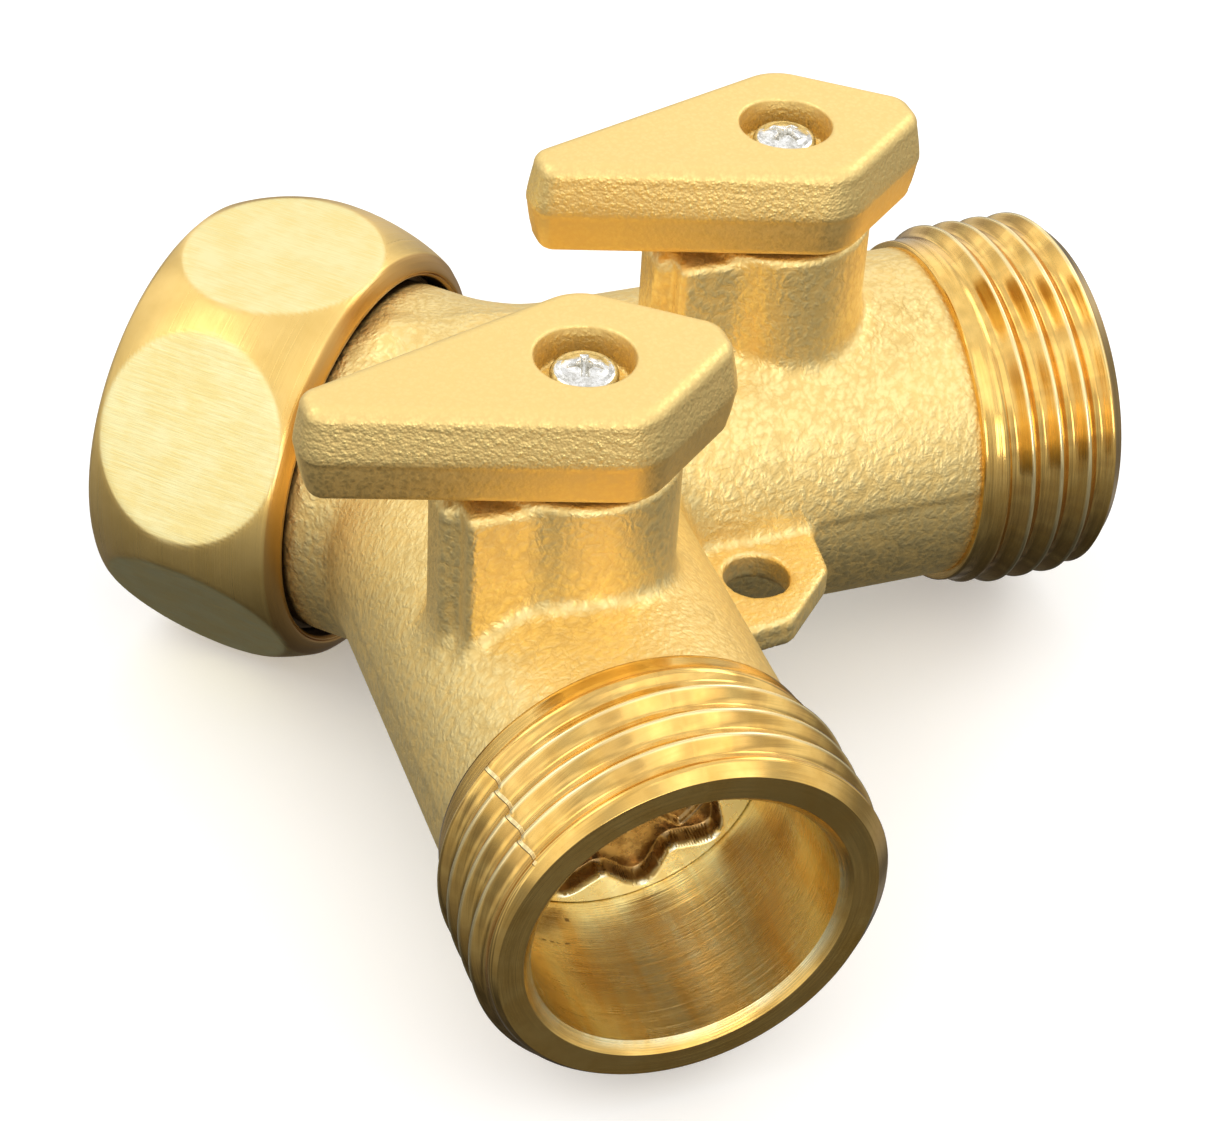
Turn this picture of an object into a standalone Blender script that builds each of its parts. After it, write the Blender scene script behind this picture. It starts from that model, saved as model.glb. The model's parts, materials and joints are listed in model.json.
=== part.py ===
"""Two-way garden hose splitter in solid brass.

A swivel hex nut screws onto a tap. The casting splits the flow into two threaded outlets at
right angles to each other, and each outlet has its own quarter-turn ball valve with a
kite-shaped handle. Lengths are metres, +Z is up, the two outlets are mirror images about the
XZ plane, and the origin is at the middle of the underside.

Run: blender --background --python part.py
"""
import math

import bmesh
import bpy
from mathutils import Matrix, Vector

MM = 0.001

# ---------------------------------------------------------------- driving dimensions
CLEARANCE = 0.3 * MM              # gap left between two pieces that touch
SPARE = 1.0 * MM                  # how far a cutter stands out of what it cuts

HOSE_THREAD_R = 13.49 * MM        # 3/4 in garden hose thread, outside
HOSE_THREAD_MINOR_R = 12.30 * MM  # the nut's own thread, inside
LEG_ANGLE = math.radians(45)      # each outlet, away from the inlet's axis
LEG_R = 12.18 * MM                # cast outlet tube
LEG_LENGTH = 45.25 * MM           # junction to outlet face
THREAD_LENGTH = 10.6 * MM
THREAD_CHAMFER = 1.1 * MM         # lead-in at the face, and run-out at the shoulder
OUTLET_FACE_R = 12.34 * MM
OUTLET_BORE_R = 10.0 * MM
OUTLET_BORE_CHAMFER = 0.68 * MM
PASSAGE_R = 5.0 * MM              # water way from the junction to each ball
INLET_PASSAGE_R = 6.2 * MM

LEG_START = -2.0 * MM            # the tubes begin inside the elbow
COLLAR_R = 12.97 * MM             # cast collar beside the nut
ELBOW_R = 12.6 * MM               # ball that rounds off the junction
OVERRUN = 3.0 * MM                # how far tubes and drillings run on past the junction
COLLAR_END = 8.8 * MM             # all inlet lengths are counted from the junction
TAIL_R = 10.1 * MM                # machined spigot inside the nut
TAIL_END = 14.9 * MM

NUT_FRONT = 7.3 * MM
NUT_BACK = 22.4 * MM
NUT_ACROSS_FLATS = 30.14 * MM
NUT_CROWN_R = 16.75 * MM          # largest radius of the barrel-shaped outside
NUT_CROWN_ARC_R = 15.0 * MM       # curve of the barrel, seen from the side
NUT_RECESS_R = 13.5 * MM          # counterbore that covers the end of the collar
NUT_WEB = (9.1 * MM, 11.3 * MM)   # inner flange that the retaining ring holds
NUT_LEAD_IN = (1.2 * MM, 1.0 * MM)   # the thread opens out at the mouth: wider by, over
RING_THICKNESS = 1.1 * MM
RING_BITE = 0.9 * MM              # how far the ring reaches into its groove
RING_STAND = 1.2 * MM             # and how far it stands out of it
GROOVE_DEPTH = 1.2 * MM
WASHER_R = (8.0 * MM, 11.9 * MM)
WASHER_THICKNESS = 2.6 * MM

VALVE_DISTANCE = 21.92 * MM       # junction to stem axis
BOSS_R = 6.69 * MM
BOSS_TOP = 19.8 * MM
LUG_LOW = (4.0 * MM, -1.5 * MM, 0.0)        # stop lug and the rib beside it: corners in the
LUG_HIGH = (8.7 * MM, 4.8 * MM, 19.3 * MM)  # stem's frame, +X along the handle
RIB_LOW = (6.0 * MM, -1.2 * MM, 1.0 * MM)
RIB_HIGH = (9.7 * MM, 2.8 * MM, 18.9 * MM)
BALL_R = 7.0 * MM
BALL_BORE_R = 4.3 * MM
CHAMBER_R = 8.3 * MM
SEAT_R = 8.0 * MM
SEAT_BORE_R = 4.8 * MM
SEAT_BACK = 7.9 * MM              # counted from the middle of the ball
SEAT_FRONT = 3.9 * MM
SEAT_CUP_GAP = 0.4 * MM           # between the ball and the cup of each seat
SEAT_LIP_R = 6.3 * MM             # where the cup ends
SEAT_LIP_SLOPE = (0.4 * MM, 0.1 * MM)
RETAINER_R = 9.7 * MM
RETAINER_THICKNESS = 2.0 * MM
RETAINER_DRIVE_R = 5.9 * MM       # corner radius of its hex key socket

STEM_R = 3.7 * MM
STEM_BORE_R = 4.0 * MM
STEM_FLANGE_R = 4.6 * MM
STEM_FLANGE = (8.35 * MM, 9.5 * MM)
STEM_SHOULDER = 10.8 * MM         # roof of the pocket that the flange turns in
STEM_POCKET_R = 4.9 * MM
STEM_SQUARE = 4.4 * MM            # drive square inside the handle
STEM_SQUARE_TOP = 23.3 * MM
STEM_SQUARE_STEP = 0.4 * MM       # the square starts this far below the top of the boss
STEM_CORE_R = 0.2 * MM            # middle left alone while the square is cut
TANG_WIDTH = 2.2 * MM
TANG_LENGTH = 6.0 * MM
TANG_BOTTOM = 5.3 * MM
O_RING_R = 3.1 * MM               # middle of the ring's section
O_RING_SECTION_R = 0.55 * MM
O_RING_GROOVE_GAP = 0.35 * MM     # between the ring and the floor of its groove
O_RING_HEIGHTS = (12.5 * MM, 15.5 * MM)
SCREW_THREAD_R = 1.3 * MM
SCREW_HEAD_R = 2.05 * MM
SCREW_HEAD_HEIGHT = 1.35 * MM
SCREW_TIP = 18.0 * MM
SCREW_TIP_GAP = 0.4 * MM
SCREW_DOME = math.radians(78)     # how far the head curves over towards its rim
SCREW_RIM = 0.35                  # share of the head's height that is a plain rim
SCREW_SLOT_HALF = (1.25 * MM, 0.24 * MM)
SCREW_SLOT_FLOOR = 0.5 * MM

HANDLE_BOTTOM = 20.1 * MM
HANDLE_TOP = 26.82 * MM
HANDLE_TIP = 18.2 * MM            # stem axis to narrow end, at the parting line
HANDLE_TAIL = 9.85 * MM           # stem axis to blunt end
HANDLE_SHOULDER = 1.9 * MM        # stem axis to the widest place, towards the tail
HANDLE_HALF_WIDTHS = (1.70 * MM, 7.93 * MM, 1.57 * MM)   # tip, shoulder, tail
HANDLE_CORNER_RADII = (1.7 * MM, 4.0 * MM, 1.9 * MM)
HANDLE_DRAFT = 0.45 * MM          # the sides lean in above and below the parting line
HANDLE_EDGE_R = 0.75 * MM
HANDLE_RECESS_R = 3.14 * MM
HANDLE_RECESS_FLOOR = 24.4 * MM
HANDLE_DIRECTION = math.radians(-135)   # both handles point this way

TAB_TOP = 1.0 * MM
TAB_THICKNESS = 2.2 * MM
TAB_FRONT = 26.4 * MM
TAB_HALF_FRONT = 3.1 * MM
TAB_SHOULDER = (23.7 * MM, 6.5 * MM)
TAB_ROOT = (15.0 * MM, 8.0 * MM)
TAB_HOLE_X = 22.3 * MM
TAB_HOLE_R = 2.3 * MM

ROUND_STEPS = 48                  # sides of the large round shapes
SMALL_STEPS = 24                  # sides of stems, seats and bosses
FINE_STEPS = 16                   # sides of rings and screws
ELBOW_STEPS = 12                  # bands of the ball at the junction, pole to pole
O_RING_SIDES = 6                  # sides of an O-ring's section
ARC_POINTS = 4                    # points on each rounded corner
SHARP_ANGLE = math.radians(30)    # edges sharper than this stay crisp

# The junction of the three water ways, seen from the origin.
REACH = (LEG_LENGTH - THREAD_CHAMFER + HOSE_THREAD_R) * math.cos(LEG_ANGLE)
JUNCTION = Vector(((NUT_BACK - REACH) / 2, 0, NUT_ACROSS_FLATS / 2))

MATERIALS = {
    "cast_brass": ((0.62, 0.44, 0.17), 0.48, 1.0),
    "machined_brass": ((0.72, 0.50, 0.17), 0.28, 1.0),
    "chrome_steel": ((0.75, 0.75, 0.74), 0.15, 1.0),
    "white_ptfe": ((0.86, 0.85, 0.80), 0.45, 0.0),
    "black_rubber": ((0.03, 0.03, 0.03), 0.75, 0.0),
    "spring_steel": ((0.45, 0.44, 0.42), 0.35, 1.0),
}


# ---------------------------------------------------------------- scene and small helpers
def clear_scene():
    for old in list(bpy.data.objects):
        bpy.data.objects.remove(old, do_unlink=True)


def new_collection(name, parent=None):
    collection = bpy.data.collections.new(name)
    (parent or bpy.context.scene.collection).children.link(collection)
    return collection


def material(kind, name):
    """A Principled material of one kind, owned by one part."""
    color, roughness, metallic = MATERIALS[kind]
    result = bpy.data.materials.new(name)
    result.use_nodes = True
    shader = result.node_tree.nodes["Principled BSDF"]
    shader.inputs["Base Color"].default_value = (*color, 1)
    shader.inputs["Roughness"].default_value = roughness
    shader.inputs["Metallic"].default_value = metallic
    return result


def new_object(name, mesh, place, collection):
    result = bpy.data.objects.new(name, mesh)
    collection.objects.link(result)
    result.matrix_world = place
    return result


def finish_part(part, kind):
    """Gives a part its own material and smooth shading between its sharp edges."""
    part.data.materials.append(material(kind, part.name + "_" + kind))
    part.data.shade_smooth()
    part.data.set_sharp_from_angle(angle=SHARP_ANGLE)
    return part


def as_cutter(tool):
    tool.hide_render = True
    tool.display_type = "WIRE"
    return tool


def boolean(target, tool, operation):
    modifier = target.modifiers.new(operation.lower() + "_" + tool.name, "BOOLEAN")
    modifier.operation = operation
    modifier.solver = "EXACT"
    modifier.object = as_cutter(tool)


def boolean_all(target, tools, operation):
    """One Boolean with every tool in a collection, so tools may overlap each other."""
    for tool in tools.objects:
        as_cutter(tool)
    modifier = target.modifiers.new(operation.lower() + "_" + tools.name, "BOOLEAN")
    modifier.operand_type = "COLLECTION"
    modifier.operation = operation
    modifier.solver = "EXACT"
    modifier.collection = tools


def placed_along(direction, origin=JUNCTION):
    """A frame whose Z runs along a level direction and whose X points up."""
    z_axis = Vector(direction).normalized()
    x_axis = Vector((0, 0, 1))
    y_axis = z_axis.cross(x_axis)
    return Matrix.Translation(origin) @ Matrix((x_axis, y_axis, z_axis)).transposed().to_4x4()


def upright(x, y, turn=0.0):
    """A frame on a stem axis, with heights still counted from the junction."""
    return Matrix.Translation(JUNCTION + Vector((x, y, 0))) @ Matrix.Rotation(turn, 4, "Z")


# ---------------------------------------------------------------- shapes
def turned(name, profile, place, collection, steps, closed=False):
    """A solid of revolution about its Z from (radius, height) points, top to bottom."""
    mesh = bpy.data.meshes.new(name)
    points = [(radius, 0, height) for radius, height in profile]
    edges = [(i, i + 1) for i in range(len(points) - 1)]
    if closed:
        edges.append((len(points) - 1, 0))
    mesh.from_pydata(points, edges, [])
    result = new_object(name, mesh, place, collection)
    screw = result.modifiers.new("turn", "SCREW")
    screw.steps = steps
    screw.render_steps = steps
    screw.use_merge_vertices = True
    screw.merge_threshold = 0.00001
    screw.use_smooth_shade = False
    return result


def rod(name, radius, low, high, place, collection, steps):
    profile = [(0, high), (radius, high), (radius, low), (0, low)]
    return turned(name, profile, place, collection, steps)


def ring(name, inner, outer, low, high, place, collection, steps):
    profile = [(outer, high), (outer, low), (inner, low), (inner, high)]
    return turned(name, profile, place, collection, steps, closed=True)


def block(name, low, high, place, collection):
    """A box between two corners, from a cube primitive."""
    mesh = bpy.data.meshes.new(name)
    cube = bmesh.new()
    bmesh.ops.create_cube(cube, size=1)
    size = Vector(high) - Vector(low)
    middle = (Vector(high) + Vector(low)) / 2
    bmesh.ops.scale(cube, vec=size, verts=cube.verts)
    bmesh.ops.translate(cube, vec=middle, verts=cube.verts)
    cube.to_mesh(mesh)
    cube.free()
    return new_object(name, mesh, place, collection)


def prism(name, sides, radius, low, high, place, collection, turn=0.0):
    """A regular prism about its Z, from a cylinder primitive."""
    mesh = bpy.data.meshes.new(name)
    solid = bmesh.new()
    middle = Matrix.Translation((0, 0, (low + high) / 2)) @ Matrix.Rotation(turn, 4, "Z")
    bmesh.ops.create_cone(solid, cap_ends=True, segments=sides, radius1=radius,
                          radius2=radius, depth=high - low, matrix=middle)
    solid.to_mesh(mesh)
    solid.free()
    return new_object(name, mesh, place, collection)


def plate(name, outline, low, high, place, collection):
    """A flat outline with thickness: a filled 2D curve, made a mesh so that it can be joined."""
    curve = bpy.data.curves.new(name + "_outline", "CURVE")
    curve.dimensions = "2D"
    curve.fill_mode = "BOTH"
    curve.extrude = (high - low) / 2
    spline = curve.splines.new("POLY")
    spline.points.add(len(outline) - 1)
    for point, (x, y) in zip(spline.points, outline):
        point.co = (x, y, 0, 1)
    spline.use_cyclic_u = True
    sketch = bpy.data.objects.new(name + "_outline", curve)
    collection.objects.link(sketch)
    sketch.matrix_world = place @ Matrix.Translation((0, 0, (low + high) / 2))
    bpy.context.view_layer.update()
    seen = sketch.evaluated_get(bpy.context.evaluated_depsgraph_get())
    mesh = bpy.data.meshes.new_from_object(seen)
    shape = bmesh.new()
    shape.from_mesh(mesh)
    bmesh.ops.remove_doubles(shape, verts=shape.verts, dist=0.00001)
    shape.to_mesh(mesh)
    shape.free()
    result = new_object(name, mesh, sketch.matrix_world.copy(), collection)
    bpy.data.objects.remove(sketch, do_unlink=True)
    return result


def rounded_outline(corners, radii, inset=0.0):
    """Corner points of a convex outline with an arc at each, moved in by an inset."""
    points = []
    count = len(corners)
    for i in range(count):
        here = Vector(corners[i])
        before = (Vector(corners[i - 1]) - here).normalized()
        after = (Vector(corners[(i + 1) % count]) - here).normalized()
        half = before.angle(after) / 2
        centre = here + (before + after).normalized() * radii[i] / math.sin(half)
        sweep = math.pi - 2 * half
        first = centre - here - before * (centre - here).dot(before)
        start = math.atan2(-first.y, -first.x)
        radius = radii[i] - inset
        for step in range(ARC_POINTS):
            angle = start + sweep * step / (ARC_POINTS - 1)
            points.append((centre.x + radius * math.cos(angle),
                           centre.y + radius * math.sin(angle)))
    return points


def stacked(name, sections, place, collection):
    """A closed skin over outlines stacked upwards, each (points, height)."""
    mesh = bpy.data.meshes.new(name)
    skin = bmesh.new()
    rows = [[skin.verts.new((x, y, height)) for x, y in points] for points, height in sections]
    skin.faces.new(list(reversed(rows[0])))
    skin.faces.new(rows[-1])
    for lower, upper in zip(rows, rows[1:]):
        for i in range(len(lower)):
            j = (i + 1) % len(lower)
            skin.faces.new((lower[i], lower[j], upper[j], upper[i]))
    skin.to_mesh(mesh)
    skin.free()
    return new_object(name, mesh, place, collection)


# ---------------------------------------------------------------- body casting
def make_body(parts, tools, legs, inlet):
    """The Y casting: collar and spigot, two outlets, two stem bosses and the hanging tab."""
    body = turned("y_body", [
        (0, TAIL_END), (TAIL_R, TAIL_END), (TAIL_R, COLLAR_END), (COLLAR_R, COLLAR_END),
        (COLLAR_R, OVERRUN), (LEG_R + CLEARANCE, -OVERRUN), (0, -OVERRUN)],
        inlet, parts, ROUND_STEPS)
    lumps = new_collection("cast_lumps", tools)
    add_lumps(lumps, legs)
    boolean_all(body, lumps, "UNION")
    drillings = new_collection("drillings", tools)
    add_drillings(drillings, legs, inlet)
    boolean_all(body, drillings, "DIFFERENCE")
    return finish_part(body, "cast_brass")


def add_lumps(lumps, legs):
    """Every solid that the casting is made of, apart from its inlet end."""
    elbow = [(ELBOW_R * math.sin(math.pi * i / ELBOW_STEPS),
              ELBOW_R * math.cos(math.pi * i / ELBOW_STEPS)) for i in range(ELBOW_STEPS + 1)]
    turned("elbow", elbow, Matrix.Translation(JUNCTION), lumps, ROUND_STEPS)
    tab_half = [(TAB_FRONT, TAB_HALF_FRONT), TAB_SHOULDER, TAB_ROOT]
    tab_outline = [(x, -y) for x, y in reversed(tab_half)] + tab_half
    plate("tab", tab_outline, TAB_TOP - TAB_THICKNESS, TAB_TOP,
          Matrix.Translation(JUNCTION), lumps)
    thread_start = LEG_LENGTH - THREAD_LENGTH
    for side, place in legs.items():
        turned(side + "_leg", [
            (0, LEG_LENGTH), (OUTLET_FACE_R, LEG_LENGTH),
            (HOSE_THREAD_R, LEG_LENGTH - THREAD_CHAMFER),
            (HOSE_THREAD_R, thread_start + THREAD_CHAMFER),
            (LEG_R, thread_start), (LEG_R, LEG_START), (0, LEG_START)], place, lumps, ROUND_STEPS)
    for side, stem in stem_places().items():
        rod(side + "_boss", BOSS_R, 0, BOSS_TOP, stem, lumps, SMALL_STEPS)
        block(side + "_stop_lug", LUG_LOW, LUG_HIGH, stem, lumps)
        block(side + "_stop_rib", RIB_LOW, RIB_HIGH, stem, lumps)


def add_drillings(drillings, legs, inlet):
    """Everything that drilling and turning takes out of the casting."""
    rod("inlet_passage", INLET_PASSAGE_R, -OVERRUN - SPARE, TAIL_END + SPARE, inlet, drillings,
        SMALL_STEPS)
    groove_low = NUT_WEB[1] + CLEARANCE
    ring("snap_groove", TAIL_R - GROOVE_DEPTH, TAIL_R + SPARE, groove_low,
         groove_low + RING_THICKNESS + 2 * CLEARANCE, inlet, drillings, ROUND_STEPS)
    rod("tab_hole", TAB_HOLE_R, TAB_TOP - 2 * TAB_THICKNESS, TAB_TOP + SPARE,
        Matrix.Translation(JUNCTION + Vector((TAB_HOLE_X, 0, 0))), drillings, SMALL_STEPS)
    seat_shoulder = VALVE_DISTANCE - SEAT_BACK - CLEARANCE
    step = VALVE_DISTANCE + SEAT_BACK
    mouth_r = OUTLET_BORE_R + OUTLET_BORE_CHAMFER
    for side, place in legs.items():
        turned(side + "_water_way", [
            (0, LEG_LENGTH + SPARE), (mouth_r, LEG_LENGTH + SPARE), (mouth_r, LEG_LENGTH),
            (OUTLET_BORE_R, LEG_LENGTH - OUTLET_BORE_CHAMFER), (OUTLET_BORE_R, step),
            (CHAMBER_R, step), (CHAMBER_R, seat_shoulder), (PASSAGE_R, seat_shoulder),
            (PASSAGE_R, -OVERRUN), (0, -OVERRUN)], place, drillings, ROUND_STEPS)
    for side, stem in stem_places().items():
        turned(side + "_stem_bore", [
            (0, BOSS_TOP + SPARE), (STEM_BORE_R, BOSS_TOP + SPARE), (STEM_BORE_R, STEM_SHOULDER),
            (STEM_POCKET_R, STEM_SHOULDER), (STEM_POCKET_R, TANG_BOTTOM),
            (0, TANG_BOTTOM)], stem, drillings, SMALL_STEPS)


# ---------------------------------------------------------------- swivel inlet
def make_inlet(parts, tools, inlet):
    """The swivel nut with its hose washer, and the ring that holds the nut on the spigot."""
    middle = (NUT_FRONT + NUT_BACK) / 2
    crown_centre = NUT_CROWN_R - NUT_CROWN_ARC_R
    half_length = (NUT_BACK - NUT_FRONT) / 2
    swing = math.asin(half_length / NUT_CROWN_ARC_R)
    crown = []
    for i in range(2 * ARC_POINTS + 1):
        angle = swing * (1 - i / ARC_POINTS)
        crown.append((crown_centre + NUT_CROWN_ARC_R * math.cos(angle),
                      middle + NUT_CROWN_ARC_R * math.sin(angle)))
    bore = [(NUT_RECESS_R, NUT_FRONT), (NUT_RECESS_R, NUT_WEB[0]),
            (TAIL_R + CLEARANCE, NUT_WEB[0]), (TAIL_R + CLEARANCE, NUT_WEB[1]),
            (HOSE_THREAD_MINOR_R, NUT_WEB[1]), (HOSE_THREAD_MINOR_R, NUT_BACK - NUT_LEAD_IN[1]),
            (HOSE_THREAD_MINOR_R + NUT_LEAD_IN[0], NUT_BACK)]
    nut = turned("swivel_nut", crown + bore, inlet, parts, ROUND_STEPS, closed=True)
    corner_r = NUT_ACROSS_FLATS / math.sqrt(3)
    hexagon = prism("nut_hexagon", 6, corner_r, NUT_FRONT - SPARE, NUT_BACK + SPARE, inlet, tools)
    boolean(nut, hexagon, "INTERSECT")
    finish_part(nut, "machined_brass")

    ring_low = NUT_WEB[1] + 2 * CLEARANCE
    snap = ring("retaining_ring", TAIL_R - RING_BITE, TAIL_R + RING_STAND, ring_low,
                ring_low + RING_THICKNESS, inlet, parts, SMALL_STEPS)
    finish_part(snap, "spring_steel")
    washer_low = TAIL_END + CLEARANCE
    washer = ring("inlet_washer", *WASHER_R, washer_low, washer_low + WASHER_THICKNESS, inlet,
                  parts, SMALL_STEPS)
    finish_part(washer, "black_rubber")


# ---------------------------------------------------------------- ball valves
def stem_places():
    """Both stem axes, each with +X along the way the handle points."""
    reach = VALVE_DISTANCE * math.cos(LEG_ANGLE)
    return {"near": upright(reach, -reach, HANDLE_DIRECTION),
            "far": upright(reach, reach, HANDLE_DIRECTION)}


def make_handle(side, place, parts, tools):
    """Kite-shaped brass lever: drafted sides, screw recess on top, drive square below."""
    tip_half, shoulder_half, tail_half = HANDLE_HALF_WIDTHS
    corners = [(HANDLE_TIP, -tip_half), (HANDLE_TIP, tip_half),
               (-HANDLE_SHOULDER, shoulder_half), (-HANDLE_TAIL, tail_half),
               (-HANDLE_TAIL, -tail_half), (-HANDLE_SHOULDER, -shoulder_half)]
    tip_r, shoulder_r, tail_r = HANDLE_CORNER_RADII
    radii = [tip_r, tip_r, shoulder_r, tail_r, tail_r, shoulder_r]
    middle = (HANDLE_BOTTOM + HANDLE_TOP) / 2
    half = (HANDLE_TOP - HANDLE_BOTTOM) / 2
    levels = [(0.0, 0.0)]
    for i in range(ARC_POINTS):
        angle = math.radians(90) * i / (ARC_POINTS - 1)
        inset = HANDLE_DRAFT + HANDLE_EDGE_R * (1 - math.cos(angle))
        levels.append((inset, half - HANDLE_EDGE_R * (1 - math.sin(angle))))
    lower = [(inset, middle - rise) for inset, rise in reversed(levels[1:])]
    upper = [(inset, middle + rise) for inset, rise in levels]
    sections = [(rounded_outline(corners, radii, inset), height)
                for inset, height in lower + upper]
    handle = stacked(side + "_handle", sections, place, parts)
    recess = rod(side + "_screw_recess", HANDLE_RECESS_R, HANDLE_RECESS_FLOOR,
                 HANDLE_TOP + SPARE, place, tools, SMALL_STEPS)
    boolean(handle, recess, "DIFFERENCE")
    socket_half = STEM_SQUARE / 2 + CLEARANCE
    socket = block(side + "_drive_socket", (-socket_half, -socket_half, HANDLE_BOTTOM - SPARE),
                   (socket_half, socket_half, STEM_SQUARE_TOP + CLEARANCE), place, tools)
    boolean(handle, socket, "DIFFERENCE")
    hole = rod(side + "_screw_hole", SCREW_THREAD_R + CLEARANCE, STEM_SQUARE_TOP,
               HANDLE_RECESS_FLOOR + SPARE, place, tools, FINE_STEPS)
    boolean(handle, hole, "DIFFERENCE")
    return finish_part(handle, "cast_brass")


def make_stem(side, place, parts, tools):
    """Blow-out proof stem: flange and tang below, two seal grooves, drive square on top."""
    groove_r = O_RING_R - O_RING_SECTION_R - O_RING_GROOVE_GAP
    groove_half = O_RING_SECTION_R + CLEARANCE
    profile = [(0, STEM_SQUARE_TOP), (STEM_R, STEM_SQUARE_TOP)]
    for height in reversed(O_RING_HEIGHTS):
        profile += [(STEM_R, height + groove_half), (groove_r, height + groove_half),
                    (groove_r, height - groove_half), (STEM_R, height - groove_half)]
    profile += [(STEM_R, STEM_FLANGE[1]), (STEM_FLANGE_R, STEM_FLANGE[1]),
                (STEM_FLANGE_R, STEM_FLANGE[0]), (0, STEM_FLANGE[0])]
    stem = turned(side + "_stem", profile, place, parts, SMALL_STEPS)
    tang = block(side + "_tang", (-TANG_LENGTH / 2, -TANG_WIDTH / 2, TANG_BOTTOM),
                 (TANG_LENGTH / 2, TANG_WIDTH / 2, STEM_FLANGE[0] + SPARE), place, tools)
    boolean(stem, tang, "UNION")
    square = prism(side + "_square_keeper", 4, STEM_SQUARE / math.sqrt(2),
                   BOSS_TOP - SPARE, STEM_SQUARE_TOP + SPARE, place, tools, math.radians(45))
    sleeve = ring(side + "_square_waste", STEM_CORE_R, STEM_R + SPARE,
                  BOSS_TOP - STEM_SQUARE_STEP,
                  STEM_SQUARE_TOP + SPARE, place, tools, FINE_STEPS)
    boolean(sleeve, square, "DIFFERENCE")
    boolean(stem, sleeve, "DIFFERENCE")
    tap = rod(side + "_screw_tap", SCREW_THREAD_R + CLEARANCE, SCREW_TIP - SCREW_TIP_GAP,
              STEM_SQUARE_TOP + SPARE, place, tools, FINE_STEPS)
    boolean(stem, tap, "DIFFERENCE")
    return finish_part(stem, "machined_brass")


def make_screw(side, place, parts, tools):
    """Pan head machine screw with a cross recess."""
    seat = HANDLE_RECESS_FLOOR + CLEARANCE
    profile = []
    for i in range(ARC_POINTS):
        angle = SCREW_DOME * i / (ARC_POINTS - 1)
        rise = SCREW_RIM + (1 - SCREW_RIM) * math.cos(angle)
        profile.append((SCREW_HEAD_R * math.sin(angle) / math.sin(SCREW_DOME),
                        seat + SCREW_HEAD_HEIGHT * rise))
    profile += [(SCREW_HEAD_R, seat), (SCREW_THREAD_R, seat), (SCREW_THREAD_R, SCREW_TIP),
                (0, SCREW_TIP)]
    screw = turned(side + "_handle_screw", profile, place, parts, FINE_STEPS)
    slot_low = seat + SCREW_SLOT_FLOOR
    slot_high = seat + SCREW_HEAD_HEIGHT + SPARE
    long_half, short_half = SCREW_SLOT_HALF
    for name, half_x, half_y in (("slot_a", long_half, short_half),
                                 ("slot_b", short_half, long_half)):
        slot = block(side + "_" + name, (-half_x, -half_y, slot_low),
                     (half_x, half_y, slot_high), place, tools)
        boolean(screw, slot, "DIFFERENCE")
    return finish_part(screw, "chrome_steel")


def make_ball(side, place, parts, tools):
    """Ball with its water way along the handle and a slot for the tang on top."""
    mesh = bpy.data.meshes.new(side + "_ball")
    sphere = bmesh.new()
    bmesh.ops.create_uvsphere(sphere, u_segments=SMALL_STEPS, v_segments=SMALL_STEPS // 2,
                              radius=BALL_R)
    sphere.to_mesh(mesh)
    sphere.free()
    ball = new_object(side + "_ball", mesh, place, parts)
    along = place @ Matrix.Rotation(math.radians(90), 4, "Y")
    boolean(ball, rod(side + "_ball_bore", BALL_BORE_R, -BALL_R - SPARE, BALL_R + SPARE, along,
                      tools, SMALL_STEPS), "DIFFERENCE")
    slot_half = TANG_WIDTH / 2 + CLEARANCE
    slot = block(side + "_ball_slot", (-BALL_R, -slot_half, TANG_BOTTOM - CLEARANCE),
                 (BALL_R, slot_half, BALL_R + SPARE), place, tools)
    boolean(ball, slot, "DIFFERENCE")
    return finish_part(ball, "chrome_steel")


def make_seals(side, place, parts):
    """Two stem O-rings and the thrust washer above the stem's flange."""
    for name, height in zip(("lower", "upper"), O_RING_HEIGHTS):
        mesh_name = side + "_stem_o_ring_" + name
        bead = []
        for i in range(O_RING_SIDES):
            angle = -math.tau * i / O_RING_SIDES
            bead.append((O_RING_R + O_RING_SECTION_R * math.cos(angle),
                         height + O_RING_SECTION_R * math.sin(angle)))
        seal = turned(mesh_name, bead, place, parts, FINE_STEPS, closed=True)
        finish_part(seal, "black_rubber")
    low = STEM_FLANGE[1] + CLEARANCE
    washer = ring(side + "_thrust_washer", STEM_R + CLEARANCE, STEM_FLANGE_R, low,
                  STEM_SHOULDER - CLEARANCE, place, parts, SMALL_STEPS)
    finish_part(washer, "white_ptfe")


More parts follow.
